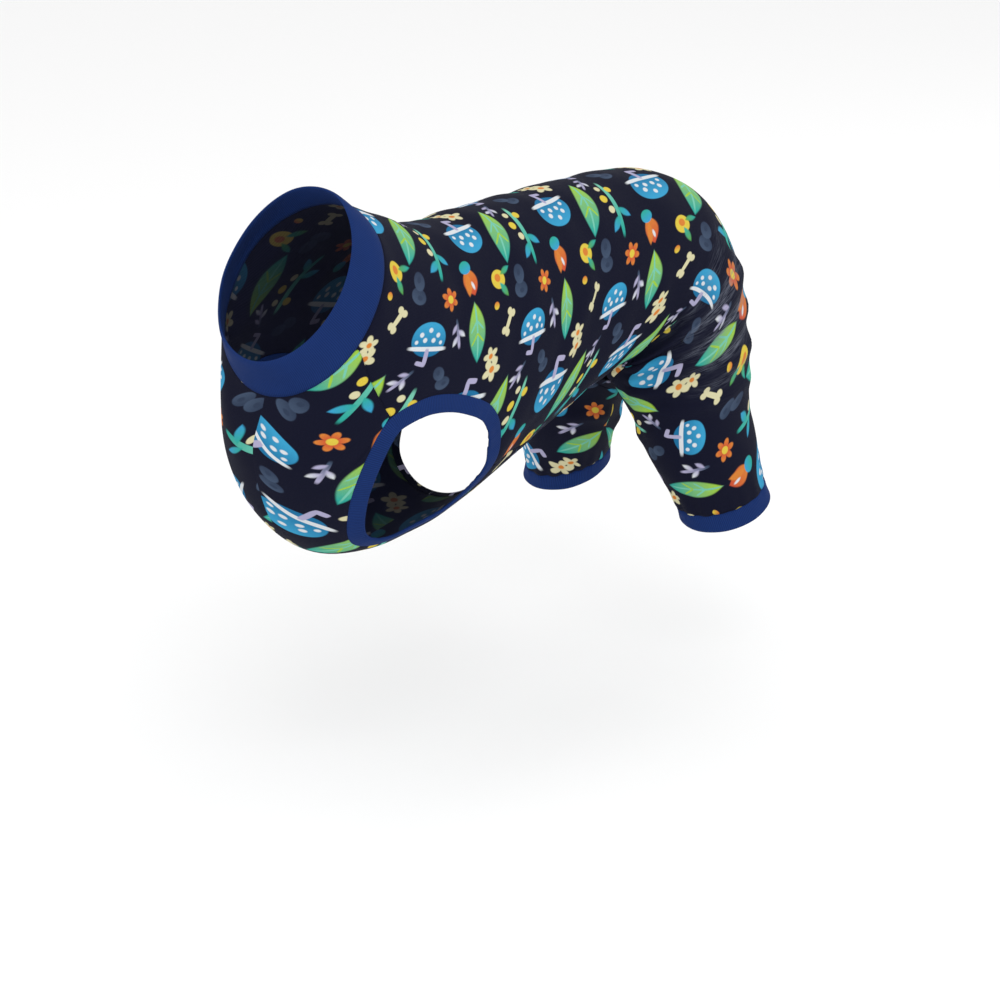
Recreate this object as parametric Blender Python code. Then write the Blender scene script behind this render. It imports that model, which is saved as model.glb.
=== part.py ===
"""Dog jumpsuit with two hind sleeves: printed jersey panels, ribbed collar, bound holes and leg cuffs.

Metres, +Z up. The wearer faces -Y, and +X is its left. The origin lies on the inner face of the
back panel, over the withers, where the garment hangs.

Every piece is a stretch of one worn form, which is the inner face of the cloth. The form is a row of
ellipses. Each stands between a back point and a belly point of the side view. A place on it is a
pair (row, angle). The row counts along the table of sections. The angle starts at the back (0), goes
over the outer side (a quarter turn) to the belly (a half turn), and on round the inner side of a
sleeve. Only the wearer's left side is worked out, and the right side mirrors it.
"""

import math

import bpy
import numpy as np
from mathutils import Vector
from mathutils.geometry import delaunay_2d_cdt

# Trunk, on the inner face
BACK_LENGTH = 0.377
CHEST_DEPTH = 0.214
CHEST_WIDTH = 0.161

# Neck seam and the collar on it
NECK_DEPTH = 0.140
NECK_WIDTH = 0.131
NECK_LEAN = math.radians(32.5)
COLLAR_WIDTH = 0.027
COLLAR_DRAW_THROAT = 0.017
COLLAR_DRAW_SIDE = 0.012

# Hind sleeves and their cuffs
SLEEVE_LENGTH = 0.102
CUFF_DEPTH = 0.076
CUFF_ACROSS = 0.065
CUFF_SPACING = 0.154
CUFF_TILT = math.radians(15)
CUFF_WIDTH = 0.015

# Holes
TAIL_HOLE = 0.040
SEAT_WEB = 0.030

# Cloth and trim
JERSEY = 0.0015
RIB = 0.0026
HEM = 0.0022
ARM_BINDING_WIDTH = 0.0128
HEM_WIDTH = 0.0062
SEAM_GAP = 0.0003

# Folds of the cloth
FOLD_WIDTH = 0.0088
FOLD_HEIGHT = 0.0050
FOLD_FOOT = 1.7

# Spacing of the faceted surface, and the least distance between its corners as a share of the step
PANEL_STEP = 0.0148
EDGE_STEP = 0.0112
CLEAR_SHARE = 0.62

# Samples of a smooth curve between two of its places, of a straight run, and of the form per row
SPAN_SAMPLES = 40
LINE_SAMPLES = 200
ROW_SAMPLES = 20

# Corners closer than this are one
WELD_DISTANCE = 1e-6

QUARTER_TURN = math.pi / 2
HALF_TURN = math.pi
FULL_TURN = 2 * math.pi

# Back point of the neck seam, y as a share of BACK_LENGTH and z as a share of CHEST_DEPTH
NECK_SEAT = (-0.270, 0.141)

# Trunk: y as shares of BACK_LENGTH, z of CHEST_DEPTH, half width and centre of CHEST_WIDTH
TRUNK_SECTIONS = (
    # name       back_y  back_z  belly_y  belly_z  half   centre
    ("shoulder", -0.188,  0.077, -0.499,  -0.588,  0.425, 0.000),
    ("chest",    -0.095,  0.016, -0.459,  -0.832,  0.475, 0.000),
    ("armpit",    0.000,  0.000, -0.327,  -1.000,  0.500, 0.000),
    ("girth",     0.107,  0.010, -0.134,  -0.985,  0.494, 0.000),
    ("ribs",      0.224,  0.015,  0.031,  -0.907,  0.457, 0.000),
    ("waist",     0.354,  0.019,  0.187,  -0.809,  0.432, 0.000),
    ("loin",      0.487,  0.015,  0.320,  -0.725,  0.432, 0.000),
    ("croup",     0.629, -0.004,  0.403,  -0.674,  0.438, 0.006),
    ("tail",      0.729, -0.091,  0.443,  -0.656,  0.413, 0.050),
    ("rump",      0.779, -0.259,  0.459,  -0.661,  0.370, 0.130),
    ("seat",      0.784, -0.468,  0.465,  -0.709,  0.320, 0.217),
    ("crotch",    0.773, -0.644,  0.471,  -0.771,  0.287, 0.287),
)

# Sleeve: how far each measure has gone from that of the crotch section to that of the cuff seam
SLEEVE_SECTIONS = (
    # name      back_y  back_z  belly_y  belly_z  half  centre
    ("thigh",   0.75,   0.34,   0.16,    0.25,    0.46, 0.33),
    ("knee",    1.20,   0.67,   0.48,    0.63,    0.77, 0.70),
)
CUFF_BACK_Y = 0.752

NECK_ROW = 1
CROTCH_ROW = NECK_ROW + len(TRUNK_SECTIONS)
CUFF_ROW = CROTCH_ROW + len(SLEEVE_SECTIONS) + 1
LAST_ROW = CUFF_ROW + 1

# The bridge of cloth over the cleft of the seat fades out between these rows
WEB_FADE = (CROTCH_ROW - 0.6, CROTCH_ROW + 0.9)

# Edge of the armhole, closed. The shoulder seam meets it at its first place, the side seam at SIDE_PLACE
ARMHOLE = (
    # row  degrees
    (2.70, 105),
    (3.12, 91),
    (3.75, 86),
    (4.40, 91),
    (4.88, 105),
    (5.18, 124),
    (5.02, 141),
    (4.45, 152),
    (3.75, 154),
    (3.18, 140),
    (2.78, 122),
)
SIDE_PLACE = 5

# Shoulder seam, from the neck seam to the armhole
SHOULDER = ((NECK_ROW, 110), (1.85, 105), ARMHOLE[0])

# Edge of the opening under the belly: across the belly panel, along the flank, round the thigh,
# and behind the fork up to the seat seam
SIDE_SEAM_END = (5.86, 129)
FORK_ROW = 14.0
SEAT_ROW = 12.5
OPENING_BELLY = ((5.60, 180), (5.60, 160), (5.64, 142), SIDE_SEAM_END)
OPENING_FLANK = (
    # row  degrees
    SIDE_SEAM_END,
    (6.30, 131),
    (6.95, 137),
    (7.80, 140),
    (8.70, 141),
    (9.50, 144),
    (10.20, 151),
    (11.00, 166),
    (11.90, 190),
    (12.90, 219),
    (13.60, 246),
    (FORK_ROW, 270),
)
OPENING_REAR = ((13.70, -72), (13.35, -54), (13.00, -42), (12.68, -41))

# Row of the tail hole's middle
TAIL_ROW = 10.05

# Folds run straight between two places. Width is a share of FOLD_WIDTH, height of FOLD_HEIGHT
FOLDS = (
    # name             row    degrees  row    degrees  width  height
    ("groin",          9.70,  146,     10.00, 112,     0.75, -1.00),
    ("haunch_first",   10.40, 150,     10.30, 62,      1.00,  0.62),
    ("haunch_second",  11.10, 158,     11.00, 42,      1.00,  0.90),
    ("haunch_third",   11.80, 166,     11.80, 36,      1.00,  0.90),
    ("haunch_fourth",  12.50, 176,     12.60, 34,      0.90,  0.72),
    ("thigh",          13.30, 184,     13.40, 60,      0.90,  0.45),
    ("inner_thigh",    14.30, 215,     14.60, 262,     0.80,  0.40),
    ("flank",          8.90,  134,     8.30,  78,      1.10,  0.34),
    ("behind_arm",     5.70,  108,     6.50,  70,      1.20,  0.30),
    ("over_shoulder",  2.30,  80,      3.10,  52,      1.10,  0.26),
    ("knee_rear",      15.10, -60,     15.40, 30,      0.90,  0.35),
)

# Cross-section of a band: share of its width from the seam, and share of its thickness
BAND_PROFILE = (
    # across height
    (0.00,   0.88),
    (0.50,   1.00),
    (0.90,   0.92),
    (1.00,   0.62),
    (1.00,   0.38),
    (0.90,   0.08),
    (0.00,   0.12),
)
HEM_PROFILE = (
    # across height
    (0.00,   0.85),
    (0.60,   1.00),
    (1.00,   0.65),
    (1.00,   0.20),
    (0.00,   0.15),
)

# Base colour and roughness
COLOURS = {
    "jersey": ((0.0070, 0.0080, 0.0210), 0.85),
    "rib": ((0.0170, 0.0510, 0.2700), 0.90),
}


def section_table():
    """Return back y, back z, belly y, belly z, half width and centre for every row, in metres."""
    scale = np.array((BACK_LENGTH, CHEST_DEPTH, BACK_LENGTH, CHEST_DEPTH, CHEST_WIDTH, CHEST_WIDTH))
    trunk = np.array([row[1:] for row in TRUNK_SECTIONS]) * scale

    seat = np.array(NECK_SEAT) * scale[:2]
    down = np.array((-math.sin(NECK_LEAN), -math.cos(NECK_LEAN)))
    forward = np.array((-math.cos(NECK_LEAN), math.sin(NECK_LEAN)))
    neck = (*seat, *(seat + NECK_DEPTH * down), NECK_WIDTH / 2, 0)
    rise = math.sqrt(COLLAR_WIDTH**2 - COLLAR_DRAW_SIDE**2)
    edge_seat = seat + rise * forward
    edge_depth = NECK_DEPTH - COLLAR_DRAW_THROAT
    edge = (*edge_seat, *(edge_seat + edge_depth * down), NECK_WIDTH / 2 - COLLAR_DRAW_SIDE, 0)

    crotch = trunk[-1]
    heel = np.array((CUFF_BACK_Y * BACK_LENGTH, crotch[1] - SLEEVE_LENGTH))
    toe = heel - CUFF_DEPTH * np.array((math.cos(CUFF_TILT), math.sin(CUFF_TILT)))
    cuff = np.array((*heel, *toe, CUFF_ACROSS / 2, CUFF_SPACING / 2))
    sleeve = crotch + np.array([row[1:] for row in SLEEVE_SECTIONS]) * (cuff - crotch)

    knee = sleeve[-1]
    step = cuff - knee
    middle_step = np.array((step[5], (step[0] + step[2]) / 2, (step[1] + step[3]) / 2))
    along_x, along_y, along_z = CUFF_WIDTH * middle_step / np.linalg.norm(middle_step)
    cuff_edge = cuff + np.array((along_y, along_z, along_y, along_z, 0, along_x))
    return np.vstack((edge, neck, trunk, sleeve, cuff, cuff_edge))


SECTIONS = section_table()
PADDED_SECTIONS = np.vstack((2 * SECTIONS[0] - SECTIONS[1], SECTIONS, 2 * SECTIONS[-1] - SECTIONS[-2]))


def smooth(points, base, share):
    """Return the Catmull-Rom blend of four neighbouring rows of points, from the second to the third."""
    before, start, end, after = (points[base + k] for k in range(4))
    share = share[..., None]
    linear = (end - before) * share
    square = (2 * before - 5 * start + 4 * end - after) * share**2
    cube = (3 * start - before - 3 * end + after) * share**3
    return start + (linear + square + cube) / 2


def measures(row):
    """Return the six measures of the section at each fractional row."""
    row = np.asarray(row, float)
    base = np.clip(np.floor(row).astype(int), 0, LAST_ROW - 1)
    return np.moveaxis(smooth(PADDED_SECTIONS, base, row - base), -1, 0)


def ease(value, start, end):
    """Return a smooth step from 1 at start to 0 at end."""
    share = np.clip((value - start) / (end - start), 0, 1)
    return 1 - share**2 * (3 - 2 * share)


def bare_form(row, angle):
    """Return points of the form without folds."""
    back_y, back_z, belly_y, belly_z, half, centre = measures(row)
    x = centre + half * np.sin(angle)
    along = np.cos(angle)

    # Between the buttocks the cloth spans the cleft: x is rounded there before the height is read
    web = np.minimum(SEAT_WEB, 2 * centre) * ease(row, *WEB_FADE)
    bridged = web / 2 + x**2 / np.maximum(2 * web, 1e-9)
    share = np.clip((bridged - centre) / half, -1, 1)
    on_web = (angle < QUARTER_TURN) & (np.abs(x) < web)
    along = np.where(on_web, np.sqrt(1 - share**2), along)

    y = (back_y + belly_y + (back_y - belly_y) * along) / 2
    z = (back_z + belly_z + (back_z - belly_z) * along) / 2
    return np.stack((x, y, z), -1)


def normals_of(surface, row, angle):
    """Return outward unit normals of a surface from small steps in row and angle."""
    step = 1e-3
    over_row = surface(row + step, angle) - surface(row - step, angle)
    over_angle = surface(row, angle + step) - surface(row, angle - step)
    normal = np.cross(over_angle, over_row)
    return normal / np.linalg.norm(normal, axis=-1, keepdims=True)


def mean_radius(row):
    """Return the mean radius of the section, which turns an angle into a length."""
    back_y, back_z, belly_y, belly_z, half, centre = measures(row)
    return (half + np.hypot(back_y - belly_y, back_z - belly_z) / 2) / 2


FINE_ROWS = np.linspace(0, LAST_ROW, ROW_SAMPLES * LAST_ROW + 1)
SIDE_LINE = bare_form(FINE_ROWS, np.full_like(FINE_ROWS, QUARTER_TURN))
SIDE_RUN = np.append(0, np.cumsum(np.linalg.norm(np.diff(SIDE_LINE, axis=0), axis=1)))


def flat(row, angle):
    """Return the place in a plane where lengths are about those on the form."""
    return np.stack((np.interp(row, FINE_ROWS, SIDE_RUN), (angle - QUARTER_TURN) * mean_radius(row)), -1)


def fold_line(fold):
    """Return a fold's start and its run, both in the plane."""
    _, row_a, angle_a, row_b, angle_b, _, _ = fold
    start = flat(row_a, math.radians(angle_a))
    return start, flat(row_b, math.radians(angle_b)) - start


def fold_height(row, angle):
    """Return how far the folds lift the cloth: a bell curve across each fold's line."""
    place = np.stack((flat(row, angle), flat(row, angle + FULL_TURN), flat(row, angle - FULL_TURN)))
    lift = np.zeros(place.shape[1:-1])
    for fold in FOLDS:
        start, along = fold_line(fold)
        width, height = fold[5:]
        share = np.clip((place - start) @ along / (along @ along), 0, 1)
        distance = np.linalg.norm(place - start - share[..., None] * along, axis=-1).min(axis=0)
        lift += height * FOLD_HEIGHT * np.exp(-((distance / (width * FOLD_WIDTH)) ** 2))
    return lift


def form(row, angle):
    """Return points of the form with its folds."""
    lift = fold_height(row, angle)[..., None]
    return bare_form(row, angle) + lift * normals_of(bare_form, row, angle)


def middle_angle(row):
    """Return the angle at which the form meets the mirror plane at the back."""
    half, centre = measures(row)[4:]
    return -np.arcsin(np.clip(centre / half, 0, 1))


def through(places, closed=False):
    """Return a fine smooth curve through places given as row and degrees."""
    places = np.array(places, float) * (1, math.radians(1))
    if closed:
        padded = np.vstack((places[-1], places, places[:2]))
    else:
        padded = np.vstack((2 * places[0] - places[1], places, 2 * places[-1] - places[-2]))
    count = len(padded) - 3
    share = np.linspace(0, count, SPAN_SAMPLES * count + 1)
    base = np.minimum(share.astype(int), count - 1)
    return smooth(padded, base, share - base)


def straight(start, end):
    """Return a fine straight run of places between two places given as row and radians."""
    return np.linspace(start, end, LINE_SAMPLES)


def spaced(curve):
    """Return places on a curve, both ends kept, about EDGE_STEP apart on the form."""
    points = bare_form(curve[:, 0], curve[:, 1])
    run = np.append(0, np.cumsum(np.linalg.norm(np.diff(points, axis=0), axis=1)))
    count = max(2, round(run[-1] / EDGE_STEP))
    marks = np.linspace(0, run[-1], count + 1)
    return np.stack([np.interp(marks, run, curve[:, k]) for k in range(2)], -1)


def back_line(row_a, row_b):
    """Return places along the mirror plane at the back between two rows."""
    rows = np.linspace(row_a, row_b, LINE_SAMPLES)
    return spaced(np.stack((rows, middle_angle(rows)), -1))


def tail_edge():
    """Return the tail hole's edge on the left, from its rear round to its front."""
    turn = np.linspace(0, HALF_TURN, LINE_SAMPLES)
    back = measures([TAIL_ROW - 0.5, TAIL_ROW + 0.5])[:2]
    row_pitch = np.hypot(*(back[:, 1] - back[:, 0]))
    rows = TAIL_ROW + TAIL_HOLE / 2 / row_pitch * np.cos(turn)
    reach = TAIL_HOLE / 2 / measures(rows)[4]
    return spaced(np.stack((rows, middle_angle(rows) + reach * np.sin(turn)), -1))


def edges():
    """Return the shared seam lines and free edges of the left side as lists of places."""
    hole = through(ARMHOLE, closed=True)
    side = SIDE_PLACE * SPAN_SAMPLES
    neck_corner = math.radians(SHOULDER[0][1])
    rear = ((FORK_ROW, -90), *OPENING_REAR, (SEAT_ROW, math.degrees(middle_angle(SEAT_ROW))))
    return {
        "neck_back": spaced(straight((NECK_ROW, 0), (NECK_ROW, neck_corner))),
        "neck_belly": spaced(straight((NECK_ROW, neck_corner), (NECK_ROW, HALF_TURN))),
        "shoulder": spaced(through(SHOULDER)),
        "arm_top": spaced(hole[: side + 1]),
        "arm_under": spaced(hole[side:]),
        "side": spaced(through((ARMHOLE[SIDE_PLACE], SIDE_SEAM_END))),
        "belly": spaced(through(OPENING_BELLY)),
        "flank": spaced(through(OPENING_FLANK)),
        "rear": spaced(through(rear)),
        "sleeve": spaced(straight((FORK_ROW, 3 * QUARTER_TURN), (CUFF_ROW, 3 * QUARTER_TURN))),
        "cuff": spaced(straight((CUFF_ROW, 3 * QUARTER_TURN), (CUFF_ROW, -QUARTER_TURN))),
        "tail": tail_edge(),
    }


def closed_outline(*runs):
    """Return one closed list of places from runs that end where the next begins."""
    return np.vstack([run[:-1] for run in runs])


def inside(outline, places):
    """Return which places lie inside a closed outline, by counting the edges to their right."""
    start = outline
    end = np.roll(outline, -1, axis=0)
    x, y = places[:, None, 0], places[:, None, 1]
    spans = (start[:, 1] > y) != (end[:, 1] > y)
    rise = np.where(end[:, 1] == start[:, 1], 1, end[:, 1] - start[:, 1])
    crossing = start[:, 0] + (y - start[:, 1]) * (end[:, 0] - start[:, 0]) / rise
    return (spans & (crossing > x)).sum(axis=1) % 2 == 1


def clear_of(points, others):
    """Return the points that keep a good share of a step to every one of the others."""
    distance = np.linalg.norm(points[:, None] - others[None], axis=-1).min(axis=1)
    return points[distance > CLEAR_SHARE * PANEL_STEP]


def fold_points():
    """Return points in the plane on every fold's ridge and along both of its feet."""
    lines = []
    for fold in FOLDS:
        start, along = fold_line(fold)
        length = math.hypot(*along)
        across = np.array((-along[1], along[0])) / length * FOLD_WIDTH * fold[5] * FOLD_FOOT
        share = np.linspace(0, 1, round(length / PANEL_STEP) + 1)[:, None]
        ridge = start + share * along
        lines += [ridge, ridge + across, ridge - across]
    return lines


def filled(outline):
    """Return places and triangles that fill a closed outline with evenly spaced places."""
    edge = flat(outline[:, 0], outline[:, 1])
    low, high = edge.min(axis=0), edge.max(axis=0)
    known = edge
    for line in fold_points():
        known = np.vstack((known, clear_of(line[inside(edge, line)], known)))
    line_step = PANEL_STEP * math.sqrt(3) / 2
    for number, run in enumerate(np.arange(low[0] + line_step / 2, high[0], line_step)):
        across = np.arange(low[1] + PANEL_STEP * (0.5 * (number % 2) + 0.25), high[1], PANEL_STEP)
        line = np.stack((np.full_like(across, run), across), -1)
        known = np.vstack((known, clear_of(line[inside(edge, line)], known)))
    grid = known[len(edge):]
    rows = np.interp(grid[:, 0], SIDE_RUN, FINE_ROWS)
    angles = grid[:, 1] / mean_radius(rows) + QUARTER_TURN
    places = np.vstack((outline, np.stack((rows, angles), -1)))

    loop = [(k, (k + 1) % len(edge)) for k in range(len(edge))]
    corners = [Vector(point) for point in np.vstack((edge, grid))]
    verts, _, faces, origins, _, _ = delaunay_2d_cdt(corners, loop, [], 1, 1e-7)
    source = [min(origin) for origin in origins]
    return places, np.array([[source[corner] for corner in face] for face in faces])


def welded(points, normals, faces):
    """Return the left half and its mirror image as one mesh, with coinciding corners made one."""
    middle = np.abs(points[:, 0]) < WELD_DISTANCE
    points[middle, 0] = 0
    normals[middle, 0] = 0
    normals /= np.linalg.norm(normals, axis=1, keepdims=True)
    flip = np.array((-1, 1, 1))
    points = np.vstack((points, points * flip))
    normals = np.vstack((normals, normals * flip))
    faces = np.vstack((faces, faces[:, ::-1] + len(points) // 2))
    grid = np.round(points / WELD_DISTANCE).astype(int)
    _, first, place = np.unique(grid, axis=0, return_index=True, return_inverse=True)
    return points[first], normals[first], place.reshape(-1)[faces]


def turned_outward(points, normals, faces):
    """Return the triangles with their shared winding turned to face along the normals."""
    a, b, c = (points[faces[:, k]] for k in range(3))
    facing = np.einsum("ij,ij->", np.cross(b - a, c - a), normals[faces[:, 0]])
    return faces if facing > 0 else faces[:, ::-1]


def rim_edges(faces):
    """Return the directed edges that only one triangle uses."""
    directed = np.vstack((faces[:, (0, 1)], faces[:, (1, 2)], faces[:, (2, 0)]))
    known = {(int(a), int(b)) for a, b in directed}
    return np.array([edge for edge in known if (edge[1], edge[0]) not in known])


def mitred(first, second):
    """Return the direction that moves a corner so that both of its edges move by one unit."""
    overlap = 1 + np.einsum("ij,ij->i", first, second)
    return (first + second) / np.maximum(overlap, 0.5)[:, None]


def unit(vectors):
    """Return vectors at length one."""
    return vectors / np.linalg.norm(vectors, axis=-1, keepdims=True)


def panel(name, material, outline):
    """Add a cloth panel: the outline's stretch of the form and its mirror image, with a wall."""
    places, faces = filled(outline)
    points = form(places[:, 0], places[:, 1])
    normals = normals_of(form, places[:, 0], places[:, 1])
    points, normals, faces = welded(points, normals, faces)
    faces = turned_outward(points, normals, faces)

    rim = rim_edges(faces)
    rim = rim[np.argsort(rim[:, 0])]
    arriving = rim[np.argsort(rim[:, 1])]
    corner = rim[:, 0]
    leave = np.cross(normals[corner], unit(points[rim[:, 1]] - points[corner]))
    arrive = np.cross(normals[corner], unit(points[corner] - points[arriving[:, 0]]))
    points[corner] += SEAM_GAP / 2 * mitred(unit(leave), unit(arrive))

    count = len(points)
    wall = np.stack((rim[:, 0], rim[:, 1], rim[:, 1] + count, rim[:, 0] + count), -1)
    skins = np.vstack((faces + count, faces[:, ::-1]))
    add_object(name, material, np.vstack((points, points + JERSEY * normals)), skins.tolist() + wall.tolist())


def band(name, material, place, thickness, profile=BAND_PROFILE, mirror=False):
    """Add a closed band. place gives points and outward normals at a share of the band's width."""
    rings = []
    for across, height in profile:
        points, normals = place(across)
        rings.append(points + (height * thickness + (JERSEY - thickness) / 2) * normals)
    corners = np.stack(rings, 1)
    if mirror:
        corners = corners[::-1] * np.array((-1, 1, 1))
    count, sides = corners.shape[:2]
    index = np.arange(count * sides).reshape(count, sides)
    ahead = np.roll(index, -1, axis=0)
    quads = np.stack((index, np.roll(index, -1, axis=1), np.roll(ahead, -1, axis=1), ahead), -1).reshape(-1, 4)
    points = corners.reshape(-1, 3)
    a, b, c, d = (points[quads[:, k]] - points.mean(axis=0) for k in range(4))
    if np.einsum("ij,ij->", a - c, np.cross(b, d)) < 0:
        quads = quads[:, ::-1]
    add_object(name, material, points, quads.tolist())


def both_sides(points, normals):
    """Return a closed loop from its left half, whose two ends lie in the mirror plane."""
    flip = np.array((-1, 1, 1))
    return (
        np.vstack((points, points[-2:0:-1] * flip)),
        np.vstack((normals, normals[-2:0:-1] * flip)),
    )


def edge_binding(places, width, halves):
    """Return a band's place function: it runs from a closed edge into the hole, flat on the form.

    The places follow each other with the cloth on their left and the hole on their right.
    """
    points = form(places[:, 0], places[:, 1])
    normals = normals_of(form, places[:, 0], places[:, 1])
    if halves:
        for end in (0, -1):
            points[end, 0] = 0
            normals[end, 0] = 0
        points, normals = both_sides(points, unit(normals))
    leave = unit(np.roll(points, -1, axis=0) - points)
    arrive = unit(points - np.roll(points, 1, axis=0))
    inward = mitred(unit(np.cross(leave, normals)), unit(np.cross(arrive, normals)))
    free = width - SEAM_GAP / 2
    return lambda across: (points + (SEAM_GAP / 2 + across * free) * inward, normals)


def row_band(angles, seam_row, edge_row, width, halves):
    """Return a band's place function: it runs along the form from a seam's row to its free edge's."""
    start = SEAM_GAP / 2 / width

    def place(across):
        share = start + across * (1 - start)
        rows = np.full_like(angles, seam_row + (edge_row - seam_row) * share)
        points = form(rows, angles)
        normals = normals_of(form, rows, angles)
        if halves:
            points[(0, -1), 0] = 0
            points, normals = both_sides(points, normals)
        return points, normals

    return place


def add_object(name, material, points, faces):
    """Add one closed mesh object with its own material."""
    colour, roughness = COLOURS[material]
    finish = bpy.data.materials.new(name + "_" + material)
    finish.use_nodes = True
    shader = finish.node_tree.nodes["Principled BSDF"]
    shader.inputs["Base Color"].default_value = (*colour, 1)
    shader.inputs["Roughness"].default_value = roughness
    finish.diffuse_color = (*colour, 1)

    mesh = bpy.data.meshes.new(name)
    mesh.from_pydata(points.tolist(), [], faces)
    mesh.materials.append(finish)
    mesh.shade_smooth()
    mesh.set_sharp_from_angle(angle=math.radians(50))
    bpy.context.scene.collection.objects.link(bpy.data.objects.new(name, mesh))


def clear_scene():
    """Remove every object that is already in the scene."""
    for item in list(bpy.data.objects):
        bpy.data.objects.remove(item, do_unlink=True)


def main():
    """Build the jumpsuit."""
    clear_scene()
    edge = edges()
    tail_rear, tail_front = edge["tail"][0, 0], edge["tail"][-1, 0]
    sleeve_behind = edge["sleeve"][::-1] - (0, FULL_TURN)

    panel("back_panel", "jersey", closed_outline(
        edge["neck_back"],
        edge["shoulder"],
        edge["arm_top"],
        edge["side"],
        edge["flank"],
        edge["sleeve"],
        edge["cuff"],
        sleeve_behind,
        edge["rear"],
        back_line(SEAT_ROW, tail_rear),
        edge["tail"],
        back_line(tail_front, NECK_ROW),
    ))
    panel("belly_panel", "jersey", closed_outline(
        edge["neck_belly"],
        spaced(straight((NECK_ROW, HALF_TURN), (OPENING_BELLY[0][0], HALF_TURN))),
        edge["belly"],
        edge["side"][::-1],
        edge["arm_under"],
        edge["shoulder"][::-1],
    ))

    neck_angles = np.concatenate((edge["neck_back"][:-1, 1], edge["neck_belly"][:, 1]))
    band("neck_band", "rib", row_band(neck_angles, NECK_ROW, 0, COLLAR_WIDTH, halves=True), RIB)

    armhole = closed_outline(edge["arm_top"], edge["arm_under"])
    cuff_angles = edge["cuff"][:-1, 1]
    for side, mirror in (("left", False), ("right", True)):
        arm = edge_binding(armhole, ARM_BINDING_WIDTH, halves=False)
        band("armhole_binding_" + side, "rib", arm, RIB, mirror=mirror)
        cuff = row_band(cuff_angles, CUFF_ROW, LAST_ROW, CUFF_WIDTH, halves=False)
        band("leg_cuff_" + side, "rib", cuff, RIB, mirror=mirror)

    opening = np.vstack((edge["belly"][:-1], edge["flank"][:-1], edge["rear"]))
    for name, places in (("belly_edge_binding", opening), ("tail_hole_binding", edge["tail"])):
        band(name, "jersey", edge_binding(places, HEM_WIDTH, halves=True), HEM, HEM_PROFILE)


main()
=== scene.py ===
"""Looks of a dog jumpsuit: printed jersey panels, ribbed collar, bound armholes, hems and leg cuffs.

Metres, +Z up. The wearer faces -Y, and +X is its left. Every piece is a stretch of one worn form, the
inner face of the cloth. The form is a row of ellipses, each between a back point and a belly point of
the side view. A place on it is a pair (row, angle): the row counts along the sections, and the angle
starts at the back (0), goes over the outer side (a quarter turn) to the belly (a half turn), and on
round the inner side of a sleeve. The left side is worked out and the right side mirrors it.
"""

import logging
import math
from collections.abc import Callable
from dataclasses import dataclass, field
from enum import Enum

import bmesh
import bpy
import numpy as np
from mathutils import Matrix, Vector

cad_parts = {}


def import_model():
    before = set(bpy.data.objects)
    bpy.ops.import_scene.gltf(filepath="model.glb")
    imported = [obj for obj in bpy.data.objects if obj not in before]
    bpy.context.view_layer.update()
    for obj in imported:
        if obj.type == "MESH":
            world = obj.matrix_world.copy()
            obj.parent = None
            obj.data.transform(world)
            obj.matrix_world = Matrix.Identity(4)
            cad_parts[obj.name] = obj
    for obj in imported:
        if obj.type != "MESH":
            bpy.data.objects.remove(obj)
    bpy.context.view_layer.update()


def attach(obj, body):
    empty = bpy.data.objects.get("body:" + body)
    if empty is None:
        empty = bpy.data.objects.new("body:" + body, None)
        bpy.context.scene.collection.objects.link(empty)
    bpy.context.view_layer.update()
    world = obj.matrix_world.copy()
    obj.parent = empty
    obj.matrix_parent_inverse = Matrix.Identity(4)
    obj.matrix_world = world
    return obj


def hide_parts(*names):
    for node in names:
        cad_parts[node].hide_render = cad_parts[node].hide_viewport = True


LOG = logging.getLogger("jumpsuit")

Array = np.ndarray

QUARTER_TURN = math.pi / 2
HALF_TURN = math.pi
FULL_TURN = 2 * math.pi
MIRROR = np.array((-1.0, 1.0, 1.0))

# Trunk: y as shares of the back length, z of the chest depth, half width and centre of the chest width
TRUNK_SECTIONS = (
    # name       back_y  back_z  belly_y  belly_z  half   centre
    ("shoulder", -0.188,  0.077, -0.499,  -0.588,  0.425, 0.000),
    ("chest",    -0.095,  0.016, -0.459,  -0.832,  0.475, 0.000),
    ("armpit",    0.000,  0.000, -0.327,  -1.000,  0.500, 0.000),
    ("girth",     0.107,  0.010, -0.134,  -0.985,  0.494, 0.000),
    ("ribs",      0.224,  0.015,  0.031,  -0.907,  0.457, 0.000),
    ("waist",     0.354,  0.019,  0.187,  -0.809,  0.432, 0.000),
    ("loin",      0.487,  0.015,  0.320,  -0.725,  0.432, 0.000),
    ("croup",     0.629, -0.004,  0.403,  -0.674,  0.438, 0.006),
    ("tail",      0.729, -0.091,  0.443,  -0.656,  0.413, 0.050),
    ("rump",      0.779, -0.259,  0.459,  -0.661,  0.370, 0.130),
    ("seat",      0.784, -0.468,  0.465,  -0.709,  0.320, 0.217),
    ("crotch",    0.773, -0.644,  0.471,  -0.771,  0.287, 0.287),
)

# Sleeve: how far each measure has gone from that of the crotch section to that of the cuff seam
SLEEVE_SECTIONS = (
    # name      back_y  back_z  belly_y  belly_z  half  centre
    ("thigh",   0.75,   0.34,   0.16,    0.25,    0.46, 0.33),
    ("knee",    1.20,   0.67,   0.48,    0.63,    0.77, 0.70),
)

NECK_ROW = 1
CROTCH_ROW = 13
CUFF_ROW = 16
LAST_ROW = 17
FORK_ROW = 14.0
SEAT_ROW = 12.5
TAIL_ROW = 10.05

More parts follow.
